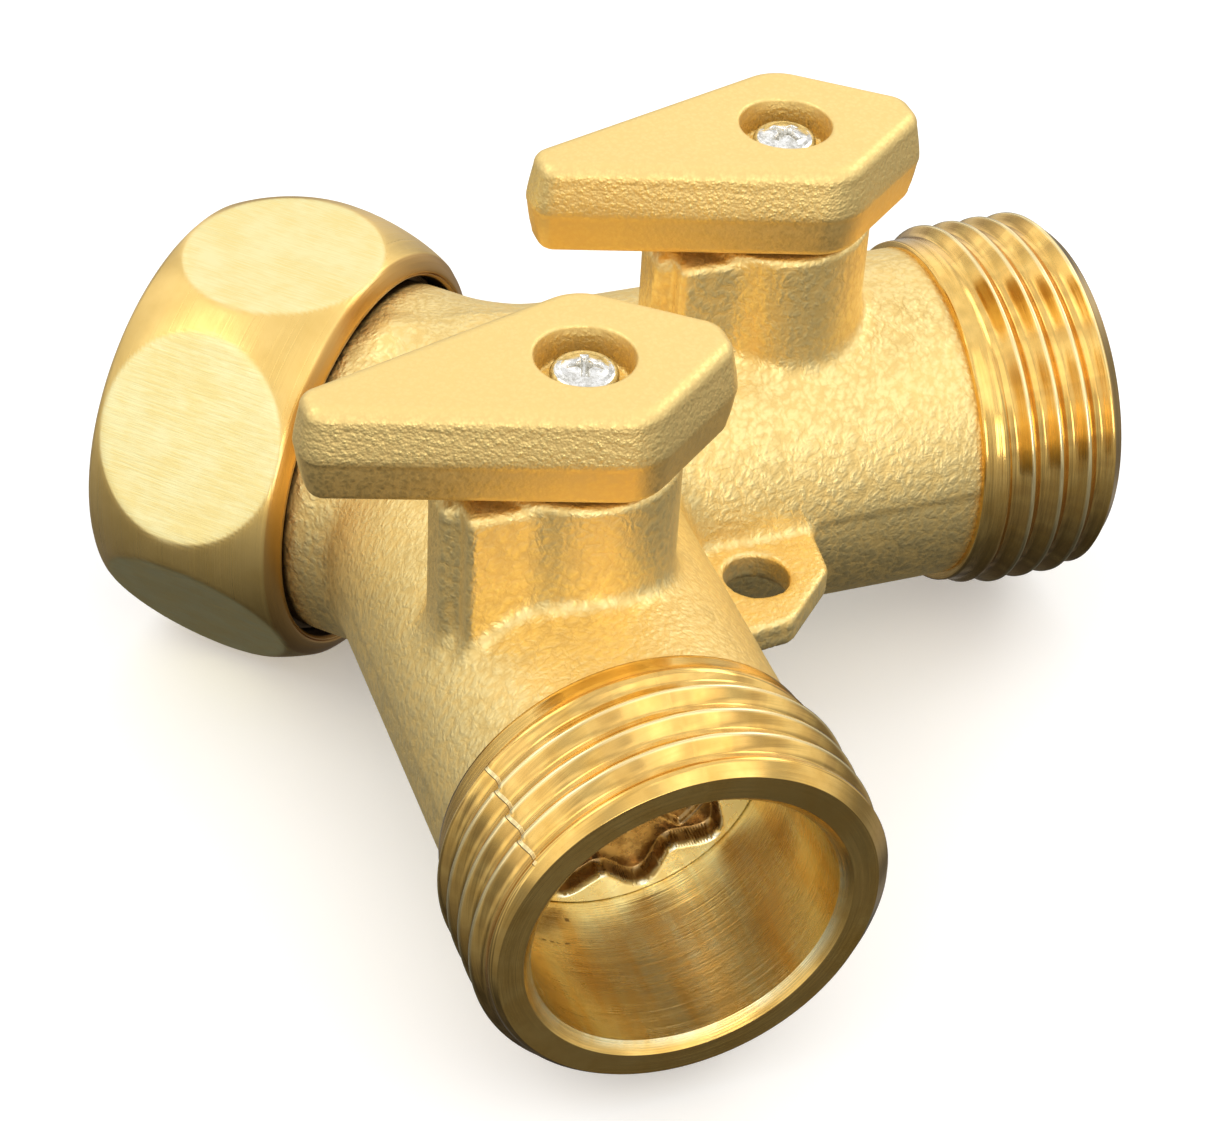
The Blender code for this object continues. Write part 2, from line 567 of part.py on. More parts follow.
def make_seats(side, leg, parts, tools):
    """Two PTFE seats, one each side of the ball, and the ring that clamps them."""
    cup = BALL_R + SEAT_CUP_GAP
    cup_top = math.sqrt(cup ** 2 - SEAT_BORE_R ** 2)
    lip = math.sqrt(cup ** 2 - SEAT_LIP_R ** 2) + SEAT_LIP_SLOPE[1]
    outline = [(SEAT_R, SEAT_BACK), (SEAT_R, SEAT_FRONT), (SEAT_LIP_R + SEAT_LIP_SLOPE[0], SEAT_FRONT),
               (SEAT_LIP_R, lip), (SEAT_BORE_R, cup_top), (SEAT_BORE_R, SEAT_BACK)]
    middle = leg @ Matrix.Translation((0, 0, VALVE_DISTANCE))
    faces = {"outer": middle, "inner": middle @ Matrix.Rotation(math.pi, 4, "X")}
    for name, place in faces.items():
        seat = turned(side + "_" + name + "_seat", outline, place, parts, SMALL_STEPS,
                      closed=True)
        finish_part(seat, "white_ptfe")
    low = VALVE_DISTANCE + SEAT_BACK + CLEARANCE
    retainer = rod(side + "_seat_retainer", RETAINER_R, low, low + RETAINER_THICKNESS, leg,
                   parts, SMALL_STEPS)
    key = prism(side + "_retainer_key", 6, RETAINER_DRIVE_R, low - SPARE,
                low + RETAINER_THICKNESS + SPARE, leg, tools)
    boolean(retainer, key, "DIFFERENCE")
    finish_part(retainer, "machined_brass")


def make_valve(side, leg, stem_place, parts, tools):
    """One complete quarter-turn valve. What turns hangs from an empty on the stem axis."""
    axis = bpy.data.objects.new(side + "_valve_axis", None)
    axis.matrix_world = stem_place
    parts.objects.link(axis)
    before = set(parts.objects)
    make_handle(side, stem_place, parts, tools)
    make_screw(side, stem_place, parts, tools)
    make_stem(side, stem_place, parts, tools)
    make_ball(side, stem_place, parts, tools)
    make_seals(side, stem_place, parts)
    for piece in set(parts.objects) - before:
        piece.parent = axis
        piece.matrix_parent_inverse = stem_place.inverted()
    make_seats(side, leg, parts, tools)


def main():
    clear_scene()
    parts = new_collection("hose_splitter")
    tools = new_collection("cutters")
    inlet = placed_along((-1, 0, 0))
    legs = {"near": placed_along((math.cos(LEG_ANGLE), -math.sin(LEG_ANGLE), 0)),
            "far": placed_along((math.cos(LEG_ANGLE), math.sin(LEG_ANGLE), 0))}
    make_body(parts, tools, legs, inlet)
    make_inlet(parts, tools, inlet)
    for side, stem_place in stem_places().items():
        make_valve(side, legs[side], stem_place, parts, tools)


main()
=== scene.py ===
"""Brass hose splitter: two threaded outlets with quarter-turn valves and a swivel inlet nut."""
import json
import math

import bmesh
import bpy
import numpy as np
from mathutils import Matrix, Vector


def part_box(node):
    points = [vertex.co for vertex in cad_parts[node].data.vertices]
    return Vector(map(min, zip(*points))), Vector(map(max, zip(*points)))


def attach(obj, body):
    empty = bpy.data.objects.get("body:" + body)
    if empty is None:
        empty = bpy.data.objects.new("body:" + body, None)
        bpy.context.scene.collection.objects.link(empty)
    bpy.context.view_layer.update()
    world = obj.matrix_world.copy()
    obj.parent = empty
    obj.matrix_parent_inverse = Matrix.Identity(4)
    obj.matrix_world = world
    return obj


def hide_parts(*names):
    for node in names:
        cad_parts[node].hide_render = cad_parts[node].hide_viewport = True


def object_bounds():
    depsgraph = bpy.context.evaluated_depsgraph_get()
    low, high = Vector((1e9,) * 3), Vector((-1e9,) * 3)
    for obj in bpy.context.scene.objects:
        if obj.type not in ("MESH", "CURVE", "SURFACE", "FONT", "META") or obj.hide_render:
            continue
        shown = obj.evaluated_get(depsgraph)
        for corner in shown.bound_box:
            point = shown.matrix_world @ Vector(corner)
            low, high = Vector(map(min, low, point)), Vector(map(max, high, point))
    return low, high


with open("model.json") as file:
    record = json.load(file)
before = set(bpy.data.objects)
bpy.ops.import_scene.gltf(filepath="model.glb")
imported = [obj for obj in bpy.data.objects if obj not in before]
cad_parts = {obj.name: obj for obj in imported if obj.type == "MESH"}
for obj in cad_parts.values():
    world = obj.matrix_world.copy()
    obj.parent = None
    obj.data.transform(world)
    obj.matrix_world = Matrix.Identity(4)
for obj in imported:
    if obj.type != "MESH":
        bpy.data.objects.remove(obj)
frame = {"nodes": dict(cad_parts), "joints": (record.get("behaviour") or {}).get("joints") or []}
cad_low, cad_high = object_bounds()

MM = 0.001
TAU = 2 * math.pi

# -------- places read from the frame
joints = {j["name"]: j for j in frame["joints"]}
near_stem = Vector(joints["near_valve_turn"]["pos_m"])
far_stem = Vector(joints["far_valve_turn"]["pos_m"])
axis_height = joints["nut_spin"]["pos_m"][2]
JUNCTION = Vector((near_stem.x - abs(near_stem.y), 0, axis_height))
nut_low, nut_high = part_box("swivel_nut")
handle_low, handle_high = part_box("near_handle")
washer_low, washer_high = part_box("inlet_washer")

# -------- sizes, in millimetres
# Distances run along a leg or the inlet from the junction of their axes, and heights are above it.
COS = math.sqrt(0.5)  # the legs lie 45 degrees either side of the inlet's axis
STEM_OFFSET = abs(near_stem.y) / MM
VALVE = STEM_OFFSET / COS

# Threaded outlets
CREST_R, ROOT_R = 13.49, 12.72
PITCH = 25.4 / 11.5
NEAR_CREST, FAR_CREST = 36.0, 37.33  # a crest's distance at angle 0
LEG_R, LEG_END = 12.18, 34.3
FACE, FACE_R = 45.25, 12.34
FACE_EDGE = 0.22
MOUTH_R, MOUTH_DEPTH = 10.68, 0.68
BORE_R, BORE_BACK = 10.0, 29.9
SLEEVE_R, SLEEVE_STEP, SLEEVE_BACK_R = 11.7, 33.0, 11.45
# Half of the thread's profile: distance from the crest's middle, and height from root to crest.
THREAD = ((0, 1), (0.08, 1), (0.14, 0.94), (0.80, 0.05), (0.90, 0), (1.11, 0))

# Casting
ELBOW_R = 12.6
COLLAR_R, COLLAR_END = 12.97, 8.8
TAIL_R, TAIL_END = 10.1, 14.9
INLET_R, PASSAGE_R, CHAMBER_R = 6.2, 5.0, 8.3
OUTLET_POCKET_R = 11.2
BOSS_R, BOSS_TOP = 6.45, 19.92
STEM_BORE_R, STEM_POCKET_R, STEM_POCKET_TOP = 4.0, 4.9, 10.8
LUG_BOX = (3.0, -1.5, -1.0), (8.7, 4.8, 19.3)
RIB_BOX = (5.0, -1.2, 1.0), (9.7, 2.8, 18.9)
PARTING, PARTING_STEP = 1.25, 0.07
TAB_OUTLINE = (15.0, -8.0), (23.7, -6.5), (26.4, -3.1), (26.4, 3.1), (23.7, 6.5), (15.0, 8.0)
TAB_HEIGHT, TAB_HALF = -0.1, 1.1
TAB_HOLE, TAB_HOLE_R = 22.3, 2.3
LUMP, LUMP_R = (-5.0, -1.6, 11.75), 1.55
CAST_LOW, CAST_HIGH = (-16.2, -35.5), (35.9, 35.5, 20.9)
GRID = 0.37

# Swivel nut
NUT_FRONT = -(nut_high.x - JUNCTION.x) / MM
NUT_BACK = -(nut_low.x - JUNCTION.x) / MM
FLAT_R = 15.07
CROWN_R, CROWN_ARC = 16.75, 15.0
NUT_EDGE, NUT_CHAMFER, NUT_CHAMFER_SLOPE = 0.35, 0.65, 0.8
NUT_COLLAR_R = 13.5
WEB_R, WEB_FRONT, WEB_BACK = 10.4, 9.1, 11.3
FEMALE_R, FEMALE_START = 13.3, 12.0

# Handles and their screws
HANDLE_TURN = math.radians(-135)
HANDLE_BOTTOM = (handle_low.z - JUNCTION.z) / MM
HANDLE_TOP = (handle_high.z - JUNCTION.z) / MM
HANDLE_PARTING = 23.35
HANDLE_EDGE, HANDLE_FOOT_EDGE = 0.95, 0.9
HANDLE_SHIFT, HANDLE_LEAN = 0.45, 0.42
HANDLE_HUB = 3.6
WELL_R, WELL_LIP, WELL_FLOOR = 3.14, 0.28, 24.4
# One half of the outline, as distances along and across, and the rounding of each corner.
OUTLINE = [(18.2, 1.70), (-1.9, 7.93), (-9.85, 1.57)]
OUTLINE_ROUNDING = [1.7, 4.0, 2.3]
SCREW_R, SCREW_BASE, SCREW_HEIGHT, SHANK_R = 2.2, 24.68, 1.5, 1.28
RECESS_HALF_WIDTH, RECESS_REACH, RECESS_CORE_R = 0.24, 1.12, 0.52

# Seats, their retainers and the inlet washer
SEAT_R, SEAT_HOLE_R = 8.0, 4.8
WASHER_R, WASHER_HOLE_R = 11.9, 8.0
RETAINER_BACK, RETAINER_FRONT = 30.12, 32.12
RETAINER_R, RETAINER_HOLE_R = 9.96, 4.9
RETAINER_TURN = math.radians(229.5)
LOBES, LOBE_R, LOBE_DEPTH = 10, 8.55, 0.85

# Marks on the near outlet, placed by distance along it and angle round it
NICK_ANGLE = math.radians(51.4)
SCRATCH_ALONG, SCRATCH_ANGLE, SCRATCH_SLOPE = 38.6, 2.54, 0.94
SPECK_ALONG, SPECK_ANGLE = 33.77, 2.766

# -------- colours
CAST_LIGHT = (1.0, 0.78, 0.34)
CAST_MID = (1.0, 0.74, 0.29)
CAST_DARK = (0.84, 0.63, 0.25)
HANDLE_LIGHT = (1.0, 0.76, 0.30)
HANDLE_DARK = (0.90, 0.67, 0.27)
HANDLE_SIDE = (0.95, 0.67, 0.24)
TURNED_LIGHT = (0.96, 0.64, 0.20)
TURNED_DEEP = (0.80, 0.47, 0.11)
# Painted highlight for the thread's crests and the nick.
CREST_HIGHLIGHT = (1.0, 0.80, 0.40)
# Painted dark reflection streaks for the thread.
THREAD_REFLECTION_STREAK = (0.66, 0.39, 0.11)
# The bore's colours are painted paler than the outer brass, as painted light in the bore.
BORE_LIGHT = (1.0, 0.92, 0.58)
BORE_DEEP = (1.0, 0.85, 0.44)
# Painted reflection streaks for the bore.
BORE_REFLECTION_STREAK = (0.97, 0.70, 0.27)
# Painted shade for the gap between the nut and the collar.
GAP_SHADE = (0.16, 0.10, 0.04)
MARK = (0.30, 0.20, 0.09)
RING_LIGHT = (0.48, 0.31, 0.13)
RING_DEEP = (0.25, 0.15, 0.06)
# Painted highlight for the retainer's rim.
RING_RIM_HIGHLIGHT = (1.0, 0.90, 0.62)
NUT_BARREL = (0.96, 0.67, 0.23)
NUT_DEEP = (0.88, 0.59, 0.18)
# Painted shade for the nut's ends and front chamfer.
NUT_LIP_SHADE = (0.68, 0.40, 0.12)
NUT_FLAT = (1.0, 0.90, 0.48)
NUT_STREAK = (0.98, 0.81, 0.35)


# -------- mesh helpers
def unit(v):
    v = np.asarray(v, float)
    return v / np.linalg.norm(v)


def leg_axes(side):
    """Columns up, across and outward for the leg on that side: -1 near, +1 far."""
    out = np.array((COS, side * COS, 0.0))
    up = np.array((0.0, 0.0, 1.0))
    return up, np.cross(out, up), out


INLET_AXES = (np.array((0.0, 0.0, 1.0)), np.cross((-1.0, 0.0, 0.0), (0.0, 0.0, 1.0)),
              np.array((-1.0, 0.0, 0.0)))


def placed(axes, across, up, along, origin=(0, 0, 0)):
    a, b, c = axes
    return (np.multiply.outer(across, a) + np.multiply.outer(up, b)
            + np.multiply.outer(along, c) + np.asarray(origin, float))


def loop_quads(rows, columns, closed_rows=True):
    """Quads of a grid whose columns close on themselves, and whose rows do if asked."""
    r = np.arange(rows if closed_rows else rows - 1)[:, None]
    c = np.arange(columns)[None, :]
    r2, c2 = (r + 1) % rows, (c + 1) % columns
    quads = np.stack([r * columns + c, r * columns + c2, r2 * columns + c2,
                      r2 * columns + c], -1)
    return quads.reshape(-1, 4)


def make_mesh(name, points, quads):
    """A mesh from points in millimetres from the junction, its closed faces turned outwards."""
    points = np.asarray(points, float).reshape(-1, 3)
    quads = np.asarray(quads, np.int64)
    a, b, c, d = (points[quads[:, i]] for i in range(4))
    if np.einsum("ij,ij->i", a + b + c + d, np.cross(c - a, d - b)).sum() < 0:
        quads = quads[:, ::-1]
    mesh = bpy.data.meshes.new(name)
    mesh.vertices.add(len(points))
    mesh.loops.add(quads.size)
    mesh.polygons.add(len(quads))
    world = points * MM + np.array(JUNCTION)
    mesh.vertices.foreach_set("co", world.astype(np.float32).ravel())
    mesh.loops.foreach_set("vertex_index", quads.ravel().astype(np.int32))
    mesh.polygons.foreach_set("loop_start", np.arange(0, quads.size, 4, dtype=np.int32))
    mesh.polygons.foreach_set("use_smooth", np.ones(len(quads), bool))
    mesh.update(calc_edges=True)
    mesh.validate()
    return mesh


def add_vectors(mesh, name, values):
    layer = mesh.attributes.new(name, "FLOAT_VECTOR", "POINT")
    layer.data.foreach_set("vector", np.asarray(values, np.float32).ravel())


def add_values(mesh, name, values):
    layer = mesh.attributes.new(name, "FLOAT", "POINT")
    layer.data.foreach_set("value", np.asarray(values, np.float32).ravel())


def add_piece(mesh, material, body, replaced=()):
    """Links a mesh as a piece that rides on a body and stands for CAD nodes."""
    piece = bpy.data.objects.new(mesh.name, mesh)
    bpy.context.scene.collection.objects.link(piece)
    mesh.materials.append(material)
    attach(piece, body)
    if replaced:
        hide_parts(*replaced)


def rounded(corners, steps=5, support=0.35):
    """A closed profile of (along, radius, rounding) corners, with an arc at each rounded one."""
    out = []
    n = len(corners)
    for i in range(n):
        p = np.array(corners[i][:2], float)
        a = np.array(corners[i - 1][:2], float)
        b = np.array(corners[(i + 1) % n][:2], float)
        radius = corners[i][2]
        if radius <= 0:
            out.append(p)
            continue
        u, v = unit(a - p), unit(b - p)
        half = math.acos(max(-1, min(1, float(u @ v)))) / 2
        reach = radius / math.tan(half)
        reach = min(reach, 0.45 * np.linalg.norm(a - p), 0.45 * np.linalg.norm(b - p))
        real = reach * math.tan(half)
        centre = p + unit(u + v) * real / math.sin(half)
        start, end = p + u * reach, p + v * reach
        out.append(start + u * min(support * real, 0.3 * reach))
        a0 = math.atan2(*(start - centre)[::-1])
        turn = math.atan2(*(end - centre)[::-1]) - a0
        turn = (turn + math.pi) % TAU - math.pi
        for k in range(steps + 1):
            t = a0 + turn * k / steps
            out.append(centre + real * np.array((math.cos(t), math.sin(t))))
        out.append(end + v * min(support * real, 0.3 * reach))
    return np.array(out)


def refined(profile, longest):
    """The closed profile with its long straight runs divided."""
    out = []
    for i, p in enumerate(profile):
        q = profile[(i + 1) % len(profile)]
        n = max(1, math.ceil(np.linalg.norm(q - p) / longest))
        out.extend(p + (q - p) * k / n for k in range(n))
    return np.array(out)


def round_the_axis(columns):
    return np.arange(columns) * TAU / columns


def swept(profile, columns):
    """Distances and radii of the profile's points, the same in every direction."""
    return (np.repeat(profile[:, i:i + 1], columns, 1) for i in (0, 1))


def ring_mesh(name, axes, along, radius, angle, quads=None):
    """A mesh of rows round an axis, with its machining directions."""
    points = placed(axes, radius * np.cos(angle), radius * np.sin(angle), along)
    mesh = make_mesh(name, points, loop_quads(*along.shape) if quads is None else quads)
    turned = np.stack([along, radius, np.broadcast_to(angle, along.shape)], -1)
    add_vectors(mesh, "turned", turned)
    return mesh


def lathe(name, axes, profile, columns=120):
    """A ring turned from a closed (along, radius) profile."""
    return ring_mesh(name, axes, *swept(profile, columns), round_the_axis(columns))


def round_stem(stem, radius, angle, height):
    """Points at those radii, directions and heights round a stem's axis."""
    origin = ((stem.x - JUNCTION.x) / MM, (stem.y - JUNCTION.y) / MM, 0)
    return placed(((1, 0, 0), (0, 1, 0), (0, 0, 1)), radius * np.cos(angle),
                  radius * np.sin(angle), height, origin)


# -------- materials
class Nodes:
    """Short calls for building one material's node tree."""

    def __init__(self, name):
        self.material = bpy.data.materials.new(name)
        self.material.use_nodes = True
        self.tree = self.material.node_tree
        self.shader = next(n for n in self.tree.nodes if n.type == "BSDF_PRINCIPLED")

    def add(self, kind, **values):
        node = self.tree.nodes.new(kind)
        for key, value in values.items():
            setattr(node, key, value)
        return node

    def link(self, value, socket):
        """Connects the socket, or sets its number or colour."""
        if isinstance(value, bpy.types.NodeSocket):
            self.tree.links.new(value, socket)
        else:
            socket.default_value = (*value, 1) if socket.type == "RGBA" else value

    def maths(self, operation, a, b=0.0):
        node = self.add("ShaderNodeMath", operation=operation)
        for socket, value in zip(node.inputs, (a, b)):
            self.link(value, socket)
        return node.outputs[0]

    def times(self, a, b):
        return self.maths("MULTIPLY", a, b)

    def plus(self, a, b):
        return self.maths("ADD", a, b)

    def minus(self, a, b):
        return self.maths("SUBTRACT", a, b)

    def place(self):
        return self.add("ShaderNodeTexCoord").outputs["Object"]

    def attribute(self, name, output="Vector"):
        return self.add("ShaderNodeAttribute", attribute_name=name).outputs[output]

    def scaled(self, vector, scale, offset=(0, 0, 0)):
        node = self.add("ShaderNodeMapping")
        self.link(vector, node.inputs["Vector"])
        node.inputs["Location"].default_value = offset
        node.inputs["Scale"].default_value = scale
        return node.outputs[0]

    def parts(self, vector):
        node = self.add("ShaderNodeSeparateXYZ")
        self.link(vector, node.inputs[0])
        return node.outputs

    def joined(self, x, y, z):
        node = self.add("ShaderNodeCombineXYZ")
        for socket, value in zip(node.inputs, (x, y, z)):
            self.link(value, socket)
        return node.outputs[0]

    def noise(self, vector, scale, detail=3.0, rough=0.6):
        node = self.add("ShaderNodeTexNoise")
        self.link(vector, node.inputs["Vector"])
        node.inputs["Scale"].default_value = scale
        node.inputs["Detail"].default_value = detail
        node.inputs["Roughness"].default_value = rough
        return node.outputs["Fac"]

    def cells(self, vector, scale):
        node = self.add("ShaderNodeTexVoronoi")
        self.link(vector, node.inputs["Vector"])
        node.inputs["Scale"].default_value = scale
        return node.outputs["Distance"]

    def span(self, value, low, high, to_low=0.0, to_high=1.0):
        node = self.add("ShaderNodeMapRange", clamp=True)
        for key, number in (("Value", value), ("From Min", low), ("From Max", high),
                            ("To Min", to_low), ("To Max", to_high)):
            self.link(number, node.inputs[key])
        return node.outputs[0]

    def near(self, value, centre, inner, outer):
        """1 where the value lies within inner of the centre, 0 beyond outer."""
        away = self.maths("ABSOLUTE", self.minus(value, centre))
        return self.span(away, inner, outer, 1, 0)

    def mix(self, factor, a, b, blend="MIX"):
        node = self.add("ShaderNodeMix", data_type="RGBA", blend_type=blend)
        sockets = [s for s in node.inputs if s.enabled]
        self.link(factor, sockets[0])
        self.link(a, sockets[1])
        self.link(b, sockets[2])
        return next(s for s in node.outputs if s.enabled)

    def bump(self, height, depth, strength=1.0, normal=None):
        """depth is the height's full range in millimetres."""
        node = self.add("ShaderNodeBump")
        node.inputs["Strength"].default_value = strength
        node.inputs["Distance"].default_value = depth * MM
        self.link(height, node.inputs["Height"])
        if normal is not None:
            self.link(normal, node.inputs["Normal"])
        return node.outputs[0]

    def finish(self, colour, rough, normal=None, metallic=1.0, **others):
        s = self.shader.inputs
        self.link(colour, s["Base Color"])
        self.link(rough, s["Roughness"])
        s["Metallic"].default_value = metallic
        if normal is not None:
            self.link(normal, s["Normal"])
        for key, value in others.items():
            s[key.replace("_", " ")].default_value = value
        return self.material


def cast_material():
    """Sand-cast brass: rounded grains, bright on top, dull between, with painted shade on the
    collar in the gap under the nut.
    """
    n = Nodes("cast_brass_look")
    at = n.place()
    bent = n.mix(0.0006, at, n.noise(at, 900, 1, 0.5), "ADD")
    grain = n.cells(n.scaled(bent, (1, 1, 0.72)), 2100)
    fine = n.cells(bent, 4300)
    dents = n.noise(at, 900, 1, 0.5)
    wide = n.noise(at, 230, 3, 0.55)
    grains = n.plus(n.times(grain, 0.62), n.times(fine, 0.3))
    height = n.minus(n.plus(0.72, n.times(dents, 0.5)), grains)
    normal = n.bump(height, 0.13, 0.6)
    low = n.mix(n.span(wide, 0.35, 0.7), CAST_DARK, CAST_MID)
    colour = n.mix(n.span(height, 0.35, 0.65), low, CAST_LIGHT)
    x, y, z = n.parts(n.scaled(at, (1 / MM,) * 3, tuple(-JUNCTION / MM)))
    away = n.maths("SQRT", n.plus(n.times(y, y), n.times(z, z)))
    # Painted shade on the collar where it runs into the gap under the nut.
    hidden = n.span(x, -NUT_FRONT - 0.35, -NUT_FRONT, 1, 0)
    colour = n.mix(n.times(n.span(away, 11.5, 12.0), hidden), colour, GAP_SHADE)
    rough = n.span(height, 0.3, 0.7, 0.58, 0.42)
    return n.finish(colour, rough, normal)


def handle_material():
    """Blasted forging: an even fine grain, smoother and browner below the parting line."""
    n = Nodes("handle_brass_look")
    at = n.place()
    grain = n.cells(at, 2500)
    fine = n.cells(at, 5200)
    wide = n.noise(at, 420, 2, 0.5)
    grains = n.plus(n.times(grain, 0.6), n.times(fine, 0.4))
    height = n.minus(0.95, grains)
    below, wall, top = n.parts(n.attribute("band"))
    depth = n.plus(n.times(wall, 0.5), 0.24)
    normal = n.bump(n.times(height, depth), 0.15, 0.6)
    shade = n.mix(n.times(top, 0.75), n.span(height, 0.35, 0.65), (0.8, 0.8, 0.8))
    base = n.mix(shade, HANDLE_DARK, HANDLE_LIGHT)
    tinted = n.mix(n.times(below, 0.85), base, HANDLE_SIDE)
    colour = n.mix(n.span(wide, 0.3, 0.75, 0, 0.16), tinted, HANDLE_DARK)
    rough = n.span(height, 0.35, 0.65, 0.54, 0.42)
    return n.finish(colour, rough, normal)


def turned_material(name, marked=False):
    """Turned brass: fine rings round the axis; outside, painted highlights on the crests and
    painted dark reflection streaks across the thread; inside, a bore painted paler as painted
    light, with painted reflection streaks.
    """
    n = Nodes(name)
    along, radius, angle = n.parts(n.attribute("turned"))
    travel = n.plus(along, n.times(radius, 1.3))
    slow = n.times(angle, 0.35)
    fine = n.noise(n.joined(n.times(travel, 11), slow, 0), 1.0)
    broad = n.noise(n.joined(n.times(travel, 2.3), slow, 4), 1.0, 2, 0.5)
    spots = n.noise(n.place(), 420)
    inside = n.span(radius, BORE_R + 0.05, BORE_R + 0.5, 1, 0)
    rings = n.plus(n.times(fine, 0.7), n.times(broad, 0.3))
    normal = n.bump(n.times(rings, n.plus(1.0, n.times(inside, 2.4))), 0.02, 0.8)

    outer = n.mix(n.span(spots, 0.35, 0.75), TURNED_LIGHT, TURNED_DEEP)
    outer = n.mix(n.span(fine, 0.3, 0.7, 0, 0.3), outer, TURNED_DEEP)
    # Painted dark reflection streaks along the thread.
    reflection_bands = n.noise(n.joined(n.times(angle, 5.2), n.times(along, 0.05), 7), 1.0, 2, 0.5)
    thread = n.times(n.span(along, LEG_END + 1.2, LEG_END + 1.8),
                     n.span(along, FACE - 1.4, FACE - 0.9, 0.55, 0))
    outer = n.mix(n.times(n.span(reflection_bands, 0.46, 0.56), thread), outer, THREAD_REFLECTION_STREAK)
    # Painted highlight along the thread's crests.
    outer = n.mix(n.span(radius, CREST_R - 0.12, CREST_R - 0.02), outer, CREST_HIGHLIGHT)

    # The bore is painted paler than the outer brass, as painted light.
    bore = n.mix(n.span(fine, 0.35, 0.65), BORE_LIGHT, BORE_DEEP)
    # Painted reflection streaks round the bore.
    reflection_streaks = n.noise(n.joined(n.times(angle, 4.6), n.times(along, 0.06), 2), 1.0)
    bore = n.mix(n.span(reflection_streaks, 0.42, 0.62), bore, BORE_REFLECTION_STREAK)
    colour = n.mix(inside, outer, bore)
    if marked:
        nick = n.times(n.near(angle, NICK_ANGLE, 0.009, 0.013), n.near(along, 40.2, 4.4, 4.6))
        nick = n.times(nick, n.span(radius, ROOT_R - 0.1, ROOT_R + 0.1))
        # The nick is painted with the crest highlight, as a painted bright line.
        colour = n.mix(nick, colour, CREST_HIGHLIGHT)
        normal = n.bump(nick, 0.06, 0.8, normal)
        line = n.near(n.plus(along, n.times(angle, SCRATCH_SLOPE)), SCRATCH_ALONG, 0.05, 0.12)
        scratch = n.times(line, n.near(angle, SCRATCH_ANGLE, 0.20, 0.24))
        scratch = n.times(scratch, n.span(n.noise(n.place(), 2600, 2, 0.5), 0.44, 0.56))
        speck = n.times(n.near(along, SPECK_ALONG, 0.12, 0.2),
                        n.near(angle, SPECK_ANGLE, 0.012, 0.02))
        colour = n.mix(n.times(n.maths("MAXIMUM", scratch, speck), inside), colour, MARK)
    rough = n.plus(n.times(fine, 0.5), n.times(spots, 0.5))
    rough = n.plus(n.span(rough, 0.35, 0.68, 0.11, 0.22), n.times(inside, 0.09))
    return n.finish(colour, rough, normal)


def ring_material():
    """The seat retainer: mottled darker brown inside, with a painted highlight on the rim where it
    meets the bore.
    """
    n = Nodes("retainer_brass_look")
    along = n.parts(n.attribute("turned"))[0]
    blotches = n.noise(n.place(), 800)
    face = n.mix(n.span(blotches, 0.4, 0.62), RING_DEEP, RING_LIGHT)
    # Painted highlight on the front rim.
    rim = n.span(along, RETAINER_FRONT - 0.52, RETAINER_FRONT - 0.17)
    colour = n.mix(rim, face, RING_RIM_HIGHLIGHT)
    return n.finish(colour, n.span(blotches, 0.3, 0.7, 0.18, 0.36), n.bump(blotches, 0.05, 0.6))


def nut_material():
    """A turned barrel with brushed hexagon flats, painted shade browning its ends and painted
    shade in the gap at the collar.
    """
    n = Nodes("nut_brass_look")
    along, radius, angle = n.parts(n.attribute("turned"))
    flat = n.attribute("flat", "Fac")
    x, y, z = n.parts(n.attribute("brushed"))
    rings = n.noise(n.joined(n.times(along, 11), n.times(angle, 0.4), n.times(radius, 9)),
                    1.0)
    brushed = n.noise(n.joined(n.times(x, 0.45), n.times(y, 9), z), 1.0, 4, 0.65)
    spots = n.noise(n.place(), 300)
    not_flat = n.minus(1.0, flat)
    chosen = n.plus(n.times(brushed, flat), n.times(rings, not_flat))
    burr = n.times(n.times(flat, not_flat), 4)
    normal = n.bump(n.plus(chosen, n.times(burr, spots)), 0.024, 0.8)

    barrel = n.mix(n.span(spots, 0.35, 0.7), NUT_BARREL, NUT_DEEP)
    # Painted shade on the nut's ends and front chamfer.
    chamfer_end = NUT_FRONT + NUT_CHAMFER
    rim = n.maths("MAXIMUM", n.span(radius, 14.2, 14.4, 1, 0),
                  n.span(along, chamfer_end - 0.03, chamfer_end + 0.09, 1, 0))
    barrel = n.mix(rim, barrel, NUT_LIP_SHADE)
    # Painted shade inside the nut's front, where the collar runs into it.
    gap = n.times(n.span(radius, NUT_COLLAR_R + 0.02, NUT_COLLAR_R + 0.1, 1, 0),
                  n.near(along, 8.6, 1.0, 1.2))
    barrel = n.mix(gap, barrel, GAP_SHADE)
    patches = n.plus(n.times(brushed, 0.5), n.times(spots, 0.5))
    flats = n.mix(n.span(patches, 0.42, 0.58), NUT_FLAT, NUT_STREAK)
    rough = n.plus(n.span(chosen, 0.3, 0.7, 0.26, 0.4), n.times(flat, 0.1))
    return n.finish(n.mix(flat, barrel, flats), rough, normal)


def chrome_material():
    n = Nodes("chrome_look")
    at = n.place()
    scuffs = n.noise(at, 2600)
    haze = n.noise(at, 500, 2, 0.5)
    colour = n.mix(n.span(scuffs, 0.4, 0.65), (0.96, 0.95, 0.92), (0.60, 0.58, 0.52))
    return n.finish(colour, n.span(haze, 0.3, 0.7, 0.08, 0.2), n.bump(scuffs, 0.05, 0.6))


def plain_material(name, scale, one, other, rough, depth, strength=0.6, **values):
    """Two close colours, a roughness and a slight relief, all from one fine noise."""
    n = Nodes(name)
    cloud = n.noise(n.place(), scale)
    rough = n.span(cloud, 0.3, 0.7, *rough)
    return n.finish(n.mix(cloud, one, other), rough, n.bump(cloud, depth, strength), **values)


